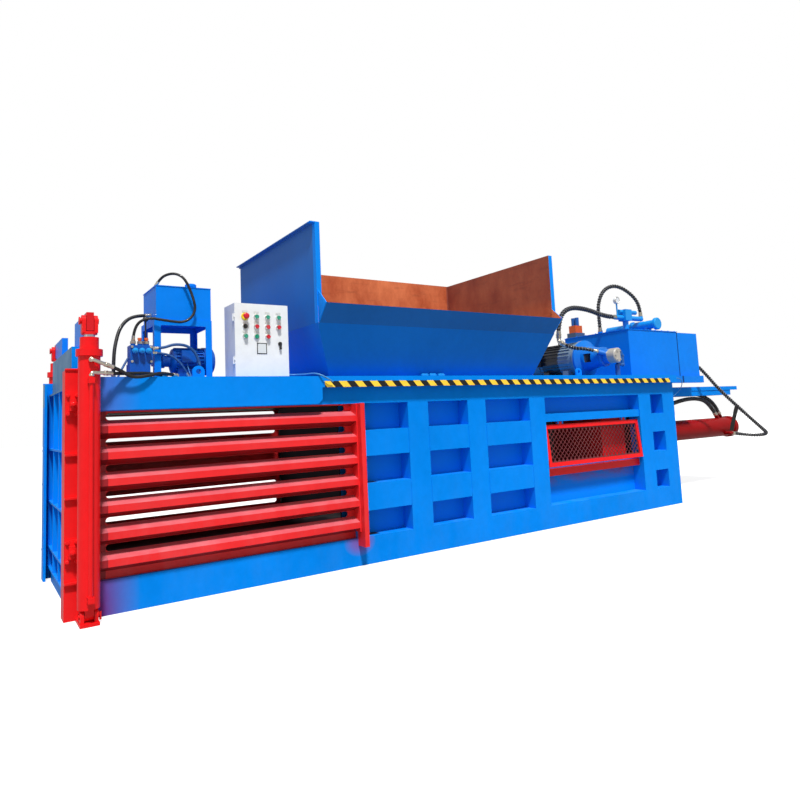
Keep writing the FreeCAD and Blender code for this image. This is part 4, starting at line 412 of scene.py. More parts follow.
def ridgeShadeAndDust(recipe, tone):                 # painted shade on the ridges' undersides; dust on their tops together with a painted sky sheen
    facingUp = recipe.facing()[2]
    under = recipe.ramp(0 - facingUp, 0.15, 0.5)
    above = recipe.ramp(facingUp, 0.15, 0.5)
    drift = recipe.noise(6, 6, 0.65, (0.35, 1, 1))
    # dust and a painted sky sheen: pale pink on faces that look up
    tone = recipe.mix(above * (0.35 + drift * 0.5), tone, tint(190, 104, 116))
    # painted shade: dark red on faces that look down
    return recipe.mix(under * 0.75, tone, tint(92, 14, 20))


# A paint's values: name, colour, worn colour, rough, coat, dust, chips, streaks, shine, grime, zones, over.
blueTone = tint(0, 133, 236)
wornBlue = tint(96, 104, 112)
blue, frameBlue, innerBlue, gateBlue = (
    paint(name, blueTone, wornBlue, coat=0.0, shine=0.03, over=over) for name, over in (
        ("blueEnamel", None), ("frameEnamel", redMist), ("farFrameEnamel", chamberGreaseAndShade), ("gateEnamel", headShadeAndSheen)))
# The dark band at X 7878–7914 is painted shade in the gap between the tank and the cooler.
boxBlue = paint("tankEnamel", tint(0, 126, 236), wornBlue, 0.26, 0.0, 0.04, 0.2, 0.05, 0.08,
                zones=[({"X": (7878, 7914)}, tint(0, 58, 124))])
bellBlue = paint("bellEnamel", tint(4, 116, 210), wornBlue, 0.24, 0.15, 0.05, 0.3, 0.1, 0.25)
lightBlue = paint("fittingEnamel", tint(12, 148, 226), wornBlue, 0.24, 0.2, 0.04, 0.3, 0.05, 0.3)
unitBlue = paint("unitEnamel", tint(4, 86, 178), tint(60, 66, 76), 0.3, 0.10, 0.10, 0.5, 0.2, 0.25,
                 tint(60, 70, 84))
red = paint("redEnamel", tint(232, 16, 22), tint(92, 40, 40), 0.26, 0.10, 0.03, 0.35, 0.06, 0.2,
            tint(180, 110, 110))
columnRed = paint("columnEnamel", tint(230, 24, 28), tint(92, 40, 40), 0.30, 0.05, 0.03, 0.35, 0.08, 0.16,
                  tint(170, 100, 100))
# The darker red at X 150–262, on the ridges' left ends, is a painted shadow of the lift cylinder.
barRed = paint("ridgeEnamel", tint(234, 38, 42), tint(110, 48, 50), 0.30, 0.08, 0.30, 0.5, 0.10, 0.22,
               tint(206, 130, 136), [({"X": (150, 262)}, tint(150, 18, 30))], ridgeShadeAndDust)
forkRed = paint("lugEnamel", tint(0, 128, 238), wornBlue, zones=[
    ({"Y": (-400, -75)}, tint(206, 24, 32)), ({"Y": (1725, 2050)}, tint(206, 24, 32))])
hopperWear = {"worn": tint(150, 92, 66), "coat": 0.0, "chips": 0.3, "streaks": 0.05, "grime": tint(90, 120, 160)}
wallBlue = paint("hopperEnamel", tint(0, 98, 188), rough=0.42, shine=0.12, over=wallSides, **hopperWear)
# The funnel's blue is lifted above the walls' blue as painted light on its downward slope.
funnelBlue = paint("funnelEnamel", tint(0, 116, 218), rough=0.42, shine=0.10, over=funnelSides, **hopperWear)
lipBlue = paint("lipEnamel", tint(22, 104, 182), rough=0.46, shine=0.12, over=funnelSides, **hopperWear)
darkRed = paint("cylinderEnamel", tint(142, 10, 14), tint(70, 40, 40), 0.28, 0.0, 0.03, 0.35, 0.15, 0.08,
                tint(90, 60, 60))
ramPaint = paint("ramFinish", tint(226, 24, 28), tint(60, 50, 50), 0.36, 0.0, 0.06, 0.4, 0.2, 0.15,
                 tint(120, 100, 96), over=ramSteel)
meshRed = paint("meshEnamel", tint(108, 46, 50), tint(120, 60, 58), 0.34, 0.05, 0.3, 0.3, 0.1, 0.2,
                tint(200, 130, 128))
# the liners' inner faces are near-black: greasy steel together with painted shade
linerSteel = paint("linerSteel", greaseAndShadeTone, tint(50, 44, 42), 0.42, 0.0, 0.12, 0.3, 0.2, 0.08,
                   tint(50, 48, 50), over=linerSides)
white = paint("cabinetPowderCoat", tint(232, 236, 238), tint(170, 172, 174), 0.42, 0.1, 0.03, 0.05, 0.02, 0.3,
              over=stopRing)
# Lighter grey at the drive end, Y 560–850: the housing's own grey together with a painted sky reflection on the
# dark enamel.
motorDark = paint("motorEnamel", tint(26, 28, 38), tint(110, 112, 116), 0.24, 0.5, 0.08, 0.3, 0.1, 0.5,
                  tint(90, 94, 100), [({"Y": (560, 850)}, tint(112, 134, 152)),
                                      ({"Y": (1140, 1400)}, tint(96, 110, 120))])
pumpPaint = paint("pumpFinish", tint(176, 172, 164), tint(120, 110, 98), 0.34, 0.15, 0.2, 0.3, 0.2, 0.5,
                  tint(90, 88, 84), [({"Y": (168, 420)}, tint(16, 118, 210)),
                                     ({"X": (6115, 6400)}, tint(12, 88, 160))])
solenoidPaint = paint("solenoidFinish", tint(224, 92, 30), tint(110, 90, 70), 0.3, 0.2, 0.1, 0.2, 0.1, 0.4,
                      tint(90, 80, 70), [({"Z": (2480, 2700)}, tint(26, 92, 170)),
                                         ({"Z": (2300, 2372)}, tint(70, 92, 120))])
chrome = metal("hardChrome", tint(214, 218, 224), 0.10, 0.04)
zinc = metal("zincSteel", tint(232, 224, 206), 0.24, 0.15)
hoseBlack = rubber("hoseRubber", tint(14, 14, 16), tint(60, 58, 56))
paintedHose = rubber("paintedHose", tint(14, 70, 130), tint(90, 150, 200))
# The spiral guards are black: their grey tone and pale patches stand for a painted highlight on the coils.
guardBlack = rubber("spiralGuard", tint(104, 106, 110), tint(214, 214, 212))
webbing = rubber("strapWebbing", tint(16, 16, 18), tint(44, 44, 46))
cableBlue = rubber("cableSheath", tint(60, 132, 190), tint(150, 190, 220))
greenPlastic = plastic("greenButton", tint(20, 150, 118), 0.25)
redPlastic = plastic("redButton", tint(206, 24, 44), 0.25)
blackPlastic = plastic("blackPlastic", tint(24, 24, 26), 0.34)
yellowPlastic = plastic("yellowPlate", tint(238, 214, 40), 0.36)
plateWhite = plastic("labelPlate", tint(214, 220, 222), 0.4)
orangePlastic = plastic("orangeCap", tint(222, 96, 34), 0.3)
gaugeWhite = plastic("gaugeFace", tint(232, 236, 238), 0.2)
tape = stripes("hazardTape", 157)
print("materials made")

finishes = {
    blue: ["rear_platform"],
    bellBlue: ["bell_housing"],
    innerBlue: ["side_frame_far"],
    frameBlue: ["side_frame_near", "top_deck", "bed_frame"],
    gateBlue: ["gate_panel", "column_far"],
    boxBlue: ["main_tank", "gate_tank", "gate_stand"],
    lightBlue: ["return_filter", "valve_manifold"],
    unitBlue: ["gate_motor", "gate_valve"],
    linerSteel: ["chamber_liners"],
    columnRed: ["column_near", "gate_guides", "rod_forks"],
    red: ["fork_pins", "lift_barrels", "lift_feet", "foot_pins", "lift_pipes",
          "guard_frame", "guard_rest"],
    meshRed: ["guard_mesh"],
    barRed: ["chamber_sides"],
    forkRed: ["lift_lugs"],
    ramPaint: ["press_ram"],
    darkRed: ["main_cylinder"],
    wallBlue: ["hopper_walls"],
    funnelBlue: ["hopper_funnel"],
    lipBlue: ["hopper_lip"],
    white: ["cabinet_body", "cabinet_door"],
    motorDark: ["main_motor"],
    pumpPaint: ["main_pump"],
    solenoidPaint: ["solenoid_valve"],
    chrome: ["lift_rods", "main_rod"],
    tape: ["hazard_tape"],
    greenPlastic: ["start_button_1", "start_button_2", "start_button_3", "reset_button", "pump_selector"],
    redPlastic: ["stop_button_1", "stop_button_2", "stop_button_3", "halt_button"],
    blackPlastic: ["valve_lever", "cabinet_lock", "mode_selector"],
    gaugeWhite: ["pressure_gauge"],
}
for finish, names in finishes.items():
    for name in names:
        mesh = frame["nodes"][name].data
        mesh.materials.clear()
        mesh.materials.append(finish)
print("CAD nodes painted")

placeCamera()
addSun("keySun", stage["key"], stage["keySpread"], stage["keyFrom"])
addSun("fillSun", stage["fill"], stage["fillSpread"], stage["fillFrom"])


def makeFloor():
    bpy.ops.mesh.primitive_plane_add(size=stage["floor"], location=(0, 0, 0))
    floor = bpy.context.object
    floor.name = "floor"
    recipe = Recipe("paleFloor")
    speck = recipe.noise(3, 3, 0.5)
    level = stage["floorTone"]
    tone = recipe.mix(speck, (level, level, level, 1), (level * 0.97, level * 0.97, level * 0.98, 1))
    recipe.set(Base_Color=tone, Roughness=0.9, Specular_IOR_Level=0.0)
    seen = recipe.add("ShaderNodeLightPath", {}, {}, "Is Camera Ray")
    glow = recipe.add("ShaderNodeEmission", {}, {"Color": (1, 1, 1, 1), "Strength": seen * stage["seenGlow"]})
    both = recipe.add("ShaderNodeAddShader", {}, {0: Wire(recipe, recipe.shader.outputs[0]), 1: glow})
    recipe.feed(recipe.tree.nodes["Material Output"].inputs["Surface"], both)
    floor.data.materials.append(recipe.material)


def makeSky():
    world = bpy.data.worlds.new("studio")
    bpy.context.scene.world = world
    world.use_nodes = True
    nodes, links = world.node_tree.nodes, world.node_tree.links
    path = nodes.new("ShaderNodeLightPath")
    shown = nodes.new("ShaderNodeMath")
    shown.operation = "MAXIMUM"
    links.new(path.outputs["Is Camera Ray"], shown.inputs[0])
    links.new(path.outputs["Is Transmission Ray"], shown.inputs[1])
    level = nodes.new("ShaderNodeMapRange")
    links.new(shown.outputs[0], level.inputs["Value"])
    level.inputs["To Min"].default_value = stage["sky"]
    level.inputs["To Max"].default_value = 1.0
    back = nodes["Background"]
    back.inputs["Color"].default_value = (1, 1, 1, 1)
    links.new(level.outputs[0], back.inputs["Strength"])


makeFloor()
makeSky()
bpy.context.scene.view_settings.view_transform = "Standard"
print("camera, floor and light set")


# ---- hoses and cables
# diameter in millimetres, length in metres, CAD node, points, stiffness
hoses = {
    "gateTankHose": (21, 1.173, "gate_hoses", [
        (655, 240, 2379), (684, 220, 2437), (734, 186, 2472), (795, 143, 2472), (850, 104, 2425),
        (905, 98, 2290), (930, 98, 2165), (846, 98, 2072), (700, 98, 2085), (560, 110, 2106),
        (475, 148, 2040), (468.5, 150, 1926.2)], "medium"),
    "gateReturnHose": (26, 0.706, "gate_hoses", [
        (636, 300, 2150), (510, 297, 2152), (400, 250, 2060), (350, 200, 1900), (335, 170, 1760),
        (335, 170, 1640.3)], "medium"),
    "gateDrainPipe": (16, 0.177, "gate_hoses", [(432.5, 150, 1794), (395, 125, 1735), (352, 100, 1645)], "stiff"),
    "upperValveHose": (22, 0.541, "gate_hoses", [
        (600.3, 112, 1870), (672, 112, 1870), (765, 108, 1908), (885, 106, 1890), (955, 105, 1780),
        (965, 105, 1651)], "medium"),
    "lowerValveHose": (18, 0.355, "gate_hoses", [
        (600.3, 120, 1835), (665, 120, 1835), (750, 112, 1812), (825, 107, 1740), (870, 106, 1650)], "medium"),
    "upperLiftHose": (25, 0.612, "gate_hoses", [
        (236.4, -181.8, 1711.9), (317, -138, 1687), (408, -122, 1628), (520, -102, 1644), (620, -52, 1668),
        (700, 18, 1664), (770, 55, 1656)], "stiff"),
    "lowerLiftHose": (25, 0.513, "gate_hoses", [
        (232.5, -167.7, 1657), (300.2, -125.5, 1657.7), (400, -82, 1662), (505, -35, 1668), (600, 15, 1664),
        (690, 62, 1656)], "stiff"),
    "pumpHose": (40, 0.490, "main_hoses", [
        (5943.5, 248, 1957), (5825, 343.4, 2006.3), (5765, 500, 2025), (5765, 650, 2100)], "stiff"),
    "leftArchHose": (50, 1.436, "main_hoses", [
        (6959.8, 720, 2515), (6730, 720, 2515), (6350, 720, 2600), (5990, 720, 2600), (5800, 720, 2440),
        (5775, 720, 2212)], "stiff"),
    "tallArchHose": (44, 1.512, "main_hoses", [
        (6880, 930, 2330.9), (6874, 930, 2500), (6855, 920, 2700), (6930, 895, 2900), (7090, 870, 3000),
        (7265, 830, 2995), (7445, 770, 2880), (7540, 720, 2715), (7540, 720, 2552.2)], "stiff"),
    "lowerCylinderHose": (50, 2.370, "rear_hoses", [
        (7120.5, 700, 1180), (7460, 700, 1180), (7960, 750, 1225), (8450, 770, 1320), (8900, 785, 1340),
        (9220, 790, 1260), (9382, 790, 1060)], "stiff"),
    "upperCylinderHose": (50, 2.628, "rear_hoses", [
        (7120.5, 950, 1240), (7460, 950, 1240), (7960, 920, 1370), (8450, 895, 1440), (8950, 875, 1425),
        (9330, 862, 1330), (9540, 860, 1180), (9607, 860, 1064)], "stiff"),
    "longHose": (39, 2.416, "rear_hoses", [
        (8474.3, 505, 1840), (8610, 480, 1740), (8830, 390, 1460), (9130, 295, 1190), (9400, 215, 960),
        (9560, 183, 840), (9740, 190, 755), (9858, 326, 718), (9850, 506, 712), (9721, 631, 740),
        (9534, 631, 765)], "stiff"),
    "cabinetConduit": (14, 0.486, "cables", [
        (1694.3, 150, 1668), (1775, 150, 1668), (1840, 65, 1664), (1880, -55, 1668), (1945, -112, 1632),
        (2025, -95, 1590)], "medium"),
    "terminalCable": (8, 0.136, "cables", [(880, 188, 1769.2), (884, 176, 1710), (905, 150, 1642)], "medium"),
    "deckCable": (12, 0.642, "cables", [
        (5560, 700, 1646.3), (5620, 560, 1646.3), (5700, 440, 1646.3), (5850, 330, 1646.3),
        (5990, 250, 1646.3)], "medium"),
    "rearCable": (10, 0.703, "cables", [
        (7060.5, -64, 1600), (7160, -60, 1596), (7260, -20, 1530), (7310, 60, 1440), (7280, 150, 1360),
        (7180, 210, 1330), (7060.3, 215, 1330)], "medium"),
}

painted = ("gateDrainPipe", "upperValveHose", "lowerValveHose")     # hoses that caught the blue spray
guards = {                                   # spiral guards: hose, coil thickness, pitch, both in millimetres
    "pumpHose": (9, 36), "leftArchHose": (10, 40), "tallArchHose": (9, 38), "longHose": (10, 38),
    "lowerCylinderHose": (7, 28), "upperCylinderHose": (7, 28),
}
coils = {"sides": 14, "trim": 80, "lift": 0.4}   # steps in a turn, bare hose at an end, rise in coil thicknesses
collars = {"length": 62, "swell": 1.22}


def addCurve(name, kind, points, radius):
    curve = bpy.data.curves.new(name, "CURVE")
    curve.dimensions = "3D"
    curve.bevel_depth = radius
    curve.bevel_resolution = 5
    curve.use_fill_caps = True
    curve.resolution_u = 24
    spline = curve.splines.new(kind)
    spline.points.add(len(points) - 1)
    for corner, point in zip(spline.points, points):
        corner.co = (*point, 1)
    if kind == "NURBS":
        spline.order_u = 3
        spline.use_endpoint_u = True
    return link(bpy.data.objects.new(name, curve))


def pick(*pieces):                           # only these are selected, and the first is the active one
    bpy.ops.object.select_all(action="DESELECT")
    for piece in pieces:
        piece.select_set(True)
    bpy.context.view_layer.objects.active = pieces[0]


def centreLine(piece):                       # points along a curve's own line
    bare = link(piece.copy())
    bare.data = piece.data.copy()
    bare.data.bevel_depth = 0
    line = bpy.data.meshes.new_from_object(bare.evaluated_get(bpy.context.evaluated_depsgraph_get()))
    points = [corner.co.copy() for corner in line.vertices]
    bpy.data.objects.remove(bare)
    return points


def windCoil(name, line, radius, thick, pitch, trim):
    lengths = [0.0]
    for first, second in zip(line, line[1:]):
        lengths.append(lengths[-1] + (second - first).length)
    total = lengths[-1] - 2 * trim
    steps = int(total / pitch * coils["sides"])
    side = (line[1] - line[0]).orthogonal().normalized()
    turns = []
    part = 0
    for step in range(steps + 1):
        reach = trim + total * step / steps
        while lengths[part + 1] < reach:
            part += 1
        share = (reach - lengths[part]) / (lengths[part + 1] - lengths[part])
        centre = line[part].lerp(line[part + 1], share)
        ahead = (line[part + 1] - line[part]).normalized()
        side = (side - ahead * side.dot(ahead)).normalized()
        angle = 2 * math.pi * step / coils["sides"]
        around = side * math.cos(angle) + ahead.cross(side) * math.sin(angle)
        turns.append(centre + around * radius)
    piece = addCurve(name, "POLY", turns, thick / 2)
    piece.data.bevel_resolution = 1
    pick(piece)
    bpy.ops.object.convert(target="MESH")
    bpy.ops.object.shade_smooth()
    piece.select_set(False)
    return piece


def lathe(name, rings, sides=24):            # rings of (height, radius), stacked along Z from the first
    bpy.ops.mesh.primitive_circle_add(vertices=sides, radius=rings[0][1], fill_type="NGON",
                                      location=(0, 0, rings[0][0]))
    piece = bpy.context.object
    piece.name = name
    mode("EDIT")
    bpy.ops.mesh.select_mode(type="FACE")
    bpy.ops.mesh.select_all(action="SELECT")
    for (low, small), (high, large) in zip(rings, rings[1:]):
        bpy.ops.mesh.extrude_region_move(TRANSFORM_OT_translate={"value": (0, 0, high - low)})
        bpy.ops.transform.resize(value=(large / small, large / small, 1))
    bpy.ops.mesh.select_all(action="SELECT")
    bpy.ops.mesh.normals_make_consistent(inside=False)
    mode("OBJECT")
    return piece


def settle(piece, finish, body, smooth, bevel=0.0):
    pick(piece)
    if bevel:
        rounding = piece.modifiers.new("rounding", "BEVEL")
        rounding.width = bevel
        rounding.segments = 2
        rounding.limit_method = "ANGLE"
        bpy.ops.object.modifier_apply(modifier="rounding")
    bpy.ops.object.transform_apply(location=True, rotation=True, scale=True)
    bpy.ops.object.shade_smooth_by_angle(angle=math.radians(smooth))
    piece.data.materials.clear()
    piece.data.materials.append(finish)
    piece.select_set(False)
    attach(piece, body)
    return piece


def aim(piece, place, direction, spin=0.0):
    piece.rotation_mode = "QUATERNION"
    turn = Vector(direction).to_track_quat("Z", "Y")
    piece.rotation_quaternion = turn @ Matrix.Rotation(spin, 3, "Z").to_quaternion()
    piece.location = place
    return piece


def addSmall(name, finish, rings, sides, places, smooth=30):
    pattern = lathe(name, rings, sides)      # one turned part, set at each (place, direction, spin)
    copies = []
    for place, direction, spin in places:
        twin = link(pattern.copy())
        twin.data = pattern.data.copy()
        copies.append(aim(twin, place, direction, spin))
    bpy.data.objects.remove(pattern)
    pick(*copies)
    bpy.ops.object.join()
    copies[0].name = name + "s"
    settle(copies[0], finish, "base", smooth)


def addBox(place, wide, deep, high):
    bpy.ops.mesh.primitive_cube_add(size=1, location=place, scale=(mm(wide), mm(deep), mm(high)))
    return bpy.context.object


def addRing(place, radius, thick, steps):    # stands upright, facing the operator
    bpy.ops.mesh.primitive_torus_add(major_radius=mm(radius), minor_radius=mm(thick), major_segments=steps,
                                     minor_segments=8, location=place, rotation=(math.pi / 2, 0, 0))
    return bpy.context.object


def pickFaces(piece, side, sign):            # selects the faces that look along an axis, in edit mode
    mode("EDIT")
    net = bmesh.from_edit_mesh(piece.data)
    for face in net.faces:
        face.select = face.normal[side] * sign > 0.9
    bmesh.update_edit_mesh(piece.data)
    bpy.ops.mesh.select_mode(type="FACE")


def joinAll(name, parts):
    pick(*parts)
    bpy.ops.object.transform_apply(location=True, rotation=True, scale=True)
    bpy.ops.object.join()
    parts[0].name = name
    return parts[0]


def hoseCollars(name, line, diameter):
    ends = []
    half = mm(diameter) / 2
    long = mm(min(collars["length"], diameter * 1.9))
    swell = collars["swell"]
    for tip, nextOne in ((line[0], line[2]), (line[-1], line[-3])):
        crimp = lathe("crimp", [
            (0.0, half * 1.02), (0.002, half * swell), (long * 0.28, half * swell), (long * 0.30, half * 1.12),
            (long * 0.36, half * 1.12), (long * 0.38, half * swell), (long * 0.60, half * swell),
            (long * 0.62, half * 1.12), (long * 0.68, half * 1.12), (long * 0.70, half * swell),
            (long * 0.96, half * swell), (long, half * 1.04)], 20)
        nut = lathe("nut", [(-0.002, half * 1.30), (0.0, half * 1.45), (half * 0.85, half * 1.45),
                            (half * 0.9, half * 1.3)], 6)
        for part in (crimp, nut):
            aim(part, tip, nextOne - tip)
        ends += [crimp, nut]
    return joinAll(name, ends)


for name, (diameter, length, node, points, stiffness) in hoses.items():
    route = [spot(*point) for point in points]
    sheath = cableBlue if node == "cables" else paintedHose if name in painted else hoseBlack
    thick = mm(diameter)
    hose = addCurve(name, "NURBS", route, thick / 2)
    hose.data.materials.append(sheath)
    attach(hose, "base")
    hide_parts(node)
    line = centreLine(hose)
    if diameter > 17:
        settle(hoseCollars(name + "Fittings", line, diameter), zinc, "base", 30)
    if name in guards:
        coilThick, pitch = guards[name]
        coil = windCoil(name + "Guard", line, thick / 2 + mm(coilThick) * coils["lift"], mm(coilThick), mm(pitch),
                        mm(coils["trim"]))
        coil.data.materials.append(guardBlack)
        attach(coil, "base")
print("hoses laid")


# ---- steel elbows and the strap on the hoses
strap = {"top": (9085, 268, 1205), "bottom": (9440, 585, 810), "wide": 58, "thick": 5, "cuts": 24,
         "sway": 0.012, "curl": 0.004, "curls": 9}
elbows = {                                   # bore, node, line, collars as (place, direction)
    "archElbow": (52, "main_hoses", [
        (5765, 650.3, 2100), (5765, 690, 2120), (5766, 719, 2150), (5775, 720, 2211)],
        [((5773, 720, 2180), (0.1, 0, 1)), ((5765, 656, 2103), (0, 0.9, 0.45))]),
    "upperLiftElbow": (26, "gate_hoses", [
        (130, -217, 1745), (130, -241, 1745), (150, -230, 1739), (236, -182, 1712)],
        [((130, -216.5, 1745), (0, -1, 0)), ((218, -192, 1717.6), (106, 59, -32))]),
    "lowerLiftElbow": (26, "gate_hoses", [
        (130, -228, 1632), (131, -231, 1656), (150, -219, 1657), (232, -168, 1657)],
        [((130, -228, 1632), (0.05, -0.1, 1)), ((214, -179, 1657), (101, 63, 0))]),
}


def addElbow(name, bore, node, line, rings):
    parts = [addCurve(name, "NURBS", [spot(*point) for point in line], mm(bore) / 2)]
    pick(parts[0])
    bpy.ops.object.convert(target="MESH")
    wide = mm(bore) / 2
    for place, direction in rings:
        collar = lathe(name + "Collar", [
            (0, wide * 1.05), (0.003, wide * 1.32), (wide, wide * 1.32), (wide * 1.12, wide * 1.05)], 8)
        parts.append(aim(collar, spot(*place), direction))
    piece = settle(joinAll(name, parts), zinc, "base", 40)
    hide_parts(node)


def addStrap():
    low, high = spot(*strap["bottom"]), spot(*strap["top"])
    span = high - low
    bpy.ops.mesh.primitive_plane_add(size=1)
    piece = bpy.context.object
    piece.name = "hoseStrap"
    mode("EDIT")
    bpy.ops.mesh.subdivide(number_cuts=strap["cuts"])
    mode("OBJECT")
    side = span.cross(Vector((0, 0, 1))).normalized()
    flat = side.cross(span).normalized()
    for corner in piece.data.vertices:
        along, across = corner.co.y + 0.5, corner.co.x
        sag = math.sin(along * math.pi) * strap["sway"]
        curl = math.sin(along * strap["curls"]) * strap["curl"] * across
        corner.co = low + span * along + side * across * mm(strap["wide"]) + flat * (sag + curl)
    wall = piece.modifiers.new("wall", "SOLIDIFY")
    wall.thickness = mm(strap["thick"])
    wall.offset = 0
    bpy.ops.object.modifier_apply(modifier="wall")
    settle(piece, webbing, "base", 40, 0.0012)
    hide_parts("rear_hoses")


for name, given in elbows.items():
    addElbow(name, *given)
addStrap()
print("elbows and strap added")


# ---- weld beads between the posts and the short beams of both side frames
beads = {"long": 0.226, "thick": 0.0045, "step": 0.011, "pinch": 0.72, "tip": 0.4,
         "bays": [(2330, 522), (3087, 491), (3813, 624)], "bottoms": (461, 937), "near": -1.0, "far": 1651.0}


def addBeads():
    tip = beads["thick"] * beads["tip"]
    rings = [(0.0, tip)]
    for step in range(1, int(beads["long"] / beads["step"])):
        swell = 1.0 if step % 2 else beads["pinch"]
        rings.append((step * beads["step"], beads["thick"] * swell))
    rings.append((beads["long"], tip))
    places = [(spot(x, y, z), (0, 0, 1), 0.0) for left, wide in beads["bays"] for x in (left, left + wide)
              for z in beads["bottoms"] for y in (beads["near"], beads["far"])]
    addSmall("frameWeld", blue, rings, 6, places, 60)


addBeads()
print("welds added")


# ---- corner plates that carry the front lip up the edges of the hopper's walls
lipEnds = {"sides": ((1891.5, 1902.5), (4739.5, 4750.5)), "wall": -127, "tip": (-268.5, 2241),
           "low": 2090, "high": 2370}


def addLipCorners():
    gussets = []
    wall, (tipY, tipZ), low, high = (lipEnds[key] for key in ("wall", "tip", "low", "high"))
    for start, end in lipEnds["sides"]:
        middle = spot((start + end) / 2, (wall + tipY) / 2, (low + high) / 2)
        gussets.append(addBox(middle, end - start, wall - tipY, high - low))
        mode("EDIT")
        tip = spot(start, tipY, tipZ)
        for z, turn in ((low, -1), (high, 1)):             # each sloping edge, from the wall to the lip's tip
            slope = tip - spot(start, wall, z)
            bpy.ops.mesh.select_all(action="SELECT")
            bpy.ops.mesh.bisect(plane_co=tip, plane_no=Vector((0, slope.z, -slope.y)) * turn, use_fill=True,
                                clear_outer=True)
        mode("OBJECT")
    settle(joinAll("lipCorners", gussets), wallBlue, "base", 30, 0.001)


addLipCorners()


# ---- three small catches on the deck's edge in front of the funnel
catches = {"starts": (3032, 3128, 3228), "long": 78, "deep": 26, "high": 20, "edge": -6, "seat": 1640,
           "ledge": 6, "top": 7.2}


def addCatches():
    parts = []
    long, deep, high = (catches[key] for key in ("long", "deep", "high"))
    for x in catches["starts"]:
        place = spot(x + long / 2, catches["edge"] + deep / 2, catches["seat"] + high / 2)
        parts.append(addBox(place, long, deep, high))
        bpy.ops.object.transform_apply(location=True, rotation=True, scale=True)
        pickFaces(parts[-1], 2, 1)
        bpy.ops.mesh.inset(thickness=mm(catches["ledge"]), depth=0)
        bpy.ops.mesh.extrude_region_move(TRANSFORM_OT_translate={"value": (0, 0, mm(catches["top"]))})
        mode("OBJECT")
    settle(joinAll("deckCatches", parts), lightBlue, "base", 30, 0.002)


addCatches()
print("lip corners and catches added")


# ---- control cabinet: bezels, caps, blank plates and the stop button
board = {"left": 1228, "first": 87, "columnPitch": 97, "topRow": 2142, "rowPitch": 82, "face": 61.6}
controlSpots = {
    "emergency_stop": (0, 0), "start_button_1": (1, 0), "start_button_2": (2, 0), "start_button_3": (3, 0),
    "mode_selector": (0, 1), "stop_button_1": (1, 1), "stop_button_2": (2, 1), "stop_button_3": (3, 1),
    "reset_button": (0, 2), "pump_selector": (1, 2), "halt_button": (2, 2),
}
bezel = {"radius": 20.8, "thick": 2.0, "out": 7.6}
smallPlate = {"wide": 40, "high": 15, "thick": 1.6, "frame": 2.4}
blankPlate = {"wide": 86, "high": 92, "thick": 2, "frame": 7}
plateLifts = {"button": 37, "stop": 41, "blank": (1456, 1880)}     # above a button, or the plate's own X and Z
stopHead = {"neck": 13, "head": 25, "out": 38, "stem": 5.8}
caps = {"green": ("start_button_1", "start_button_2", "start_button_3", "reset_button"),
        "red": ("stop_button_1", "stop_button_2", "stop_button_3", "halt_button")}


def boardSpot(column, row, out=0.0, rise=0.0):
    x = board["left"] + board["first"] + board["columnPitch"] * column
    return spot(x, board["face"] - out, board["topRow"] - board["rowPitch"] * row + rise)


def addBezels():
    rings = []
    for name, (column, row) in controlSpots.items():
        if name == "emergency_stop":
            continue
        rings.append(addRing(boardSpot(column, row, bezel["out"]), bezel["radius"], bezel["thick"], 28))
    piece = settle(joinAll("buttonBezels", rings), zinc, "door", 60)


def plateAt(place, rim, wide, high, thick, frame):       # a white plate in a rim of another finish
    piece = addBox(place, wide, thick, high)
    bpy.ops.object.transform_apply(location=True, rotation=True, scale=True)
    piece.data.materials.append(plateWhite)
    piece.data.materials.append(rim)
    pickFaces(piece, 1, -1)
    bpy.ops.mesh.inset(thickness=mm(frame), depth=0)
    net = bmesh.from_edit_mesh(piece.data)
    for face in net.faces:
        face.material_index = 0 if face.select else 1
    bmesh.update_edit_mesh(piece.data)
    bpy.ops.transform.translate(value=(0, mm(thick) * 0.3, 0))
    mode("OBJECT")
    piece.select_set(False)
    return piece


def addPlates():
    parts = []
    for name, (column, row) in controlSpots.items():
        rise = plateLifts["stop" if name == "emergency_stop" else "button"]
        parts.append(plateAt(boardSpot(column, row, smallPlate["thick"] / 2, rise), zinc, **smallPlate))
    x, z = plateLifts["blank"]
    parts.append(plateAt(spot(x, board["face"] - blankPlate["thick"] / 2, z), motorDark, **blankPlate))
    piece = joinAll("blankPlates", parts)
    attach(piece, "door")


def addStopButton():
    place = boardSpot(0, 0)
    disc = lathe("stopPlate", [
        (0.0, 0.031), (0.0012, 0.032), (0.0032, 0.032), (0.004, 0.031), (0.0041, 0.020)], 40)
    settle(aim(disc, place, (0, -1, 0)), yellowPlastic, "door", 40)
    neck, head, out = mm(stopHead["neck"]), mm(stopHead["head"]), mm(stopHead["out"])
    stem = mm(stopHead["stem"])
    knob = lathe("emergencyStop", [
        (-0.0115, stem), (0.0064, stem), (0.0066, neck), (out - 0.0235, neck), (out - 0.021, head * 0.86),
        (out - 0.016, head), (out - 0.010, head), (out - 0.004, head * 0.90), (out - 0.001, head * 0.66),
        (out, head * 0.3)], 40)
    settle(aim(knob, place, (0, -1, 0)), redPlastic, "emergency_stop_body", 50, 0.0006)
    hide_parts("emergency_stop")


def addCaps():
    stem = mm(stopHead["stem"])
    for finish, slot in ((greenPlastic, "green"), (redPlastic, "red")):
        for name in caps[slot]:
            column, row = controlSpots[name]
            cap = lathe(name + "Cap", [
                (-0.0115, stem), (0.0062, stem), (0.0064, 0.0164), (0.0074, 0.0168), (0.0148, 0.0168),
                (0.0172, 0.0155), (0.0180, 0.0128), (0.0172, 0.0118), (0.0170, 0.0050)], 28)
            settle(aim(cap, boardSpot(column, row), (0, -1, 0)), finish, name + "_body", 40)
            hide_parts(name)


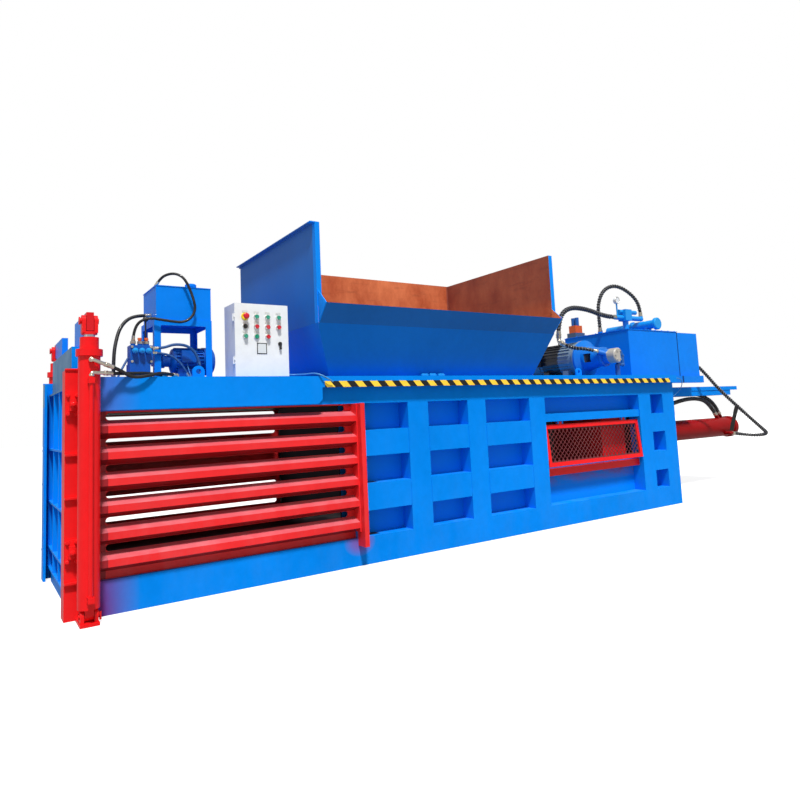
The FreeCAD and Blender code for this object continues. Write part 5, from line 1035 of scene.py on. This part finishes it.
addBezels()
addCaps()
addPlates()
addStopButton()
print("cabinet fitted out")


# ---- gate power unit: caps, nuts and bolts on the hand valve
valveSpots = {
    "columns": (468, 516, 564), "spoolFace": 76, "spoolRise": 1845,
    "portDepth": 150, "portRise": 1925, "nutDrop": 22,
    "bolts": [(452, 1766), (452, 1876), (588, 1766), (588, 1876)], "boltFace": 100,
    "unions": [(112, 1870), (120, 1835)], "unionFace": 600,
}


def addValveFittings():
    columns, depth, rise = (valveSpots[key] for key in ("columns", "portDepth", "portRise"))
    spools = [(spot(x, valveSpots["spoolFace"], valveSpots["spoolRise"]), (0, -1, 0), 0.0) for x in columns]
    addSmall("spoolCap", lightBlue, [
        (0, 0.0196), (0.004, 0.0212), (0.014, 0.0212), (0.016, 0.0150), (0.030, 0.0150), (0.032, 0.0080),
        (0.040, 0.0080), (0.041, 0.0050)], 20, spools, 40)
    addSmall("spoolBand", orangePlastic, [
        (0.0165, 0.0158), (0.0175, 0.0172), (0.0265, 0.0172), (0.0275, 0.0158)], 20, spools[::2], 40)
    addSmall("spoolTip", zinc, [
        (0.0412, 0.0060), (0.0425, 0.0105), (0.0500, 0.0105), (0.0515, 0.0070)], 12, spools, 40)
    nuts = [(spot(x, depth, rise - valveSpots["nutDrop"]), (0, 0, 1), 0.3 * x) for x in columns]
    addSmall("portNut", zinc, [(0, 0.0190), (0.002, 0.0215), (0.020, 0.0215), (0.022, 0.0190)], 6, nuts)
    plugs = [(spot(x, depth, rise), (0, 0, 1), 0.0) for x in columns[1:]]
    addSmall("portPlug", orangePlastic, [
        (0, 0.0120), (0.010, 0.0120), (0.011, 0.0155), (0.024, 0.0155), (0.026, 0.0130)], 8, plugs)
    bolts = [(spot(x, valveSpots["boltFace"], z), (0, -1, 0), 0.2 * z) for x, z in valveSpots["bolts"]]
    addSmall("valveBolt", zinc, [(0, 0.0095), (0.001, 0.0105), (0.008, 0.0105), (0.009, 0.0090)], 6, bolts)
    unions = [(spot(valveSpots["unionFace"], y, z), (1, 0, 0), 0.0) for y, z in valveSpots["unions"]]
    addSmall("sideUnion", zinc, [
        (0, 0.0140), (0.001, 0.0165), (0.016, 0.0165), (0.018, 0.0125), (0.030, 0.0125)], 6, unions)


addValveFittings()
print("hand valve fitted out")


# ---- pressure gauge: rim, ticks and needle
dial = {"middle": (7010, 2758), "front": 701, "rim": 45.5, "rimThick": 4.2, "start": 225, "sweep": 270,
        "ticks": 9, "tickLong": 8, "tickReach": 33, "needle": 30, "needleReach": 10.5, "reading": 0.28}


def addDial():
    x, z = dial["middle"]
    rim = addRing(spot(x, dial["front"], z), dial["rim"], dial["rimThick"], 36)
    settle(rim, zinc, "base", 60).name = "gaugeRim"
    shares = [tick / (dial["ticks"] - 1) for tick in range(dial["ticks"])] + [dial["reading"]]
    marks = []
    for share in shares:                     # the ticks, and the needle last
        kind = "needle" if len(marks) == dial["ticks"] else "tick"
        angle = math.radians(dial["start"] - dial["sweep"] * share)
        way = Vector((math.cos(angle), 0, math.sin(angle)))
        long = mm(dial["needle" if kind == "needle" else "tickLong"])
        bpy.ops.mesh.primitive_cone_add(vertices=8, radius1=mm(1.5), radius2=mm(0.9), depth=long)
        middle = spot(x, dial["front"] - 0.6, z) + way * mm(dial[kind + "Reach"])
        marks.append(aim(bpy.context.object, middle, way))
    settle(joinAll("gaugeMarks", marks), blackPlastic, "base", 40)


addDial()
print("gauge marked")


# ---- bolts of the tank lid, the closed cylinder end and the gate guides
lidBolts = {"edge": 20, "x": (6780, 7890), "y": (400, 1500), "along": 7, "across": 6, "z": 2300}
endBolts = {"middle": (9836, 825, 862), "radius": 112, "count": 8}
guideBolts = {"x": (17, 73), "heights": (458, 1452), "reach": 64, "faces": ((12, -24, -1), (1638, 1674, 1)),
              "studX": 45}                   # faces: Y of the nuts, Y of the stud, way they look


def addLidBolts():
    edge, along, across = (lidBolts[key] for key in ("edge", "along", "across"))
    (left, right), (near, far) = ((low + edge, high - edge) for low, high in (lidBolts["x"], lidBolts["y"]))
    spots = [(left + (right - left) * step / along, y, step) for step in range(along + 1) for y in (near, far)]
    spots += [(x, near + (far - near) * step / across, step) for step in range(1, across) for x in (left, right)]
    places = [(spot(x, y, lidBolts["z"]), (0, 0, 1), 0.4 * step) for x, y, step in spots]
    addSmall("lidBolt", boxBlue, [
        (0, 0.0140), (0.002, 0.0140), (0.0021, 0.0095), (0.009, 0.0095), (0.010, 0.0080)], 6, places)


def addEndBolts():
    places = []
    for step in range(endBolts["count"]):
        angle = 2 * math.pi * (step + 0.5) / endBolts["count"]
        way = Vector((0, math.cos(angle), math.sin(angle)))
        places.append((spot(*endBolts["middle"]) + way * mm(endBolts["radius"]), (1, 0, 0), angle))
    addSmall("endBolt", darkRed, [(0, 0.0130), (0.001, 0.0140), (0.0095, 0.0140), (0.010, 0.0120)], 6, places)


def addGuideBolts():
    nuts, studs = [], []
    reach = guideBolts["reach"]
    for height in guideBolts["heights"]:
        for face, outer, turn in guideBolts["faces"]:
            nuts += [(spot(x, face, z), (0, turn, 0), x * 0.1 + z) for x in guideBolts["x"]
                     for z in (height - reach, height + reach)]
            studs.append((spot(guideBolts["studX"], outer, height), (0, turn, 0), height * 0.3))
    addSmall("guideNut", columnRed, [
        (0, 0.0165), (0.0025, 0.0165), (0.0026, 0.0135), (0.0155, 0.0135), (0.017, 0.0115)], 6, nuts)
    addSmall("guideStud", columnRed, [
        (0, 0.024), (0.003, 0.024), (0.0031, 0.018), (0.018, 0.018), (0.020, 0.015), (0.021, 0.009),
        (0.036, 0.009)], 6, studs)


addLidBolts()
addEndBolts()
addGuideBolts()
print("bolts set")


print("baler ready")
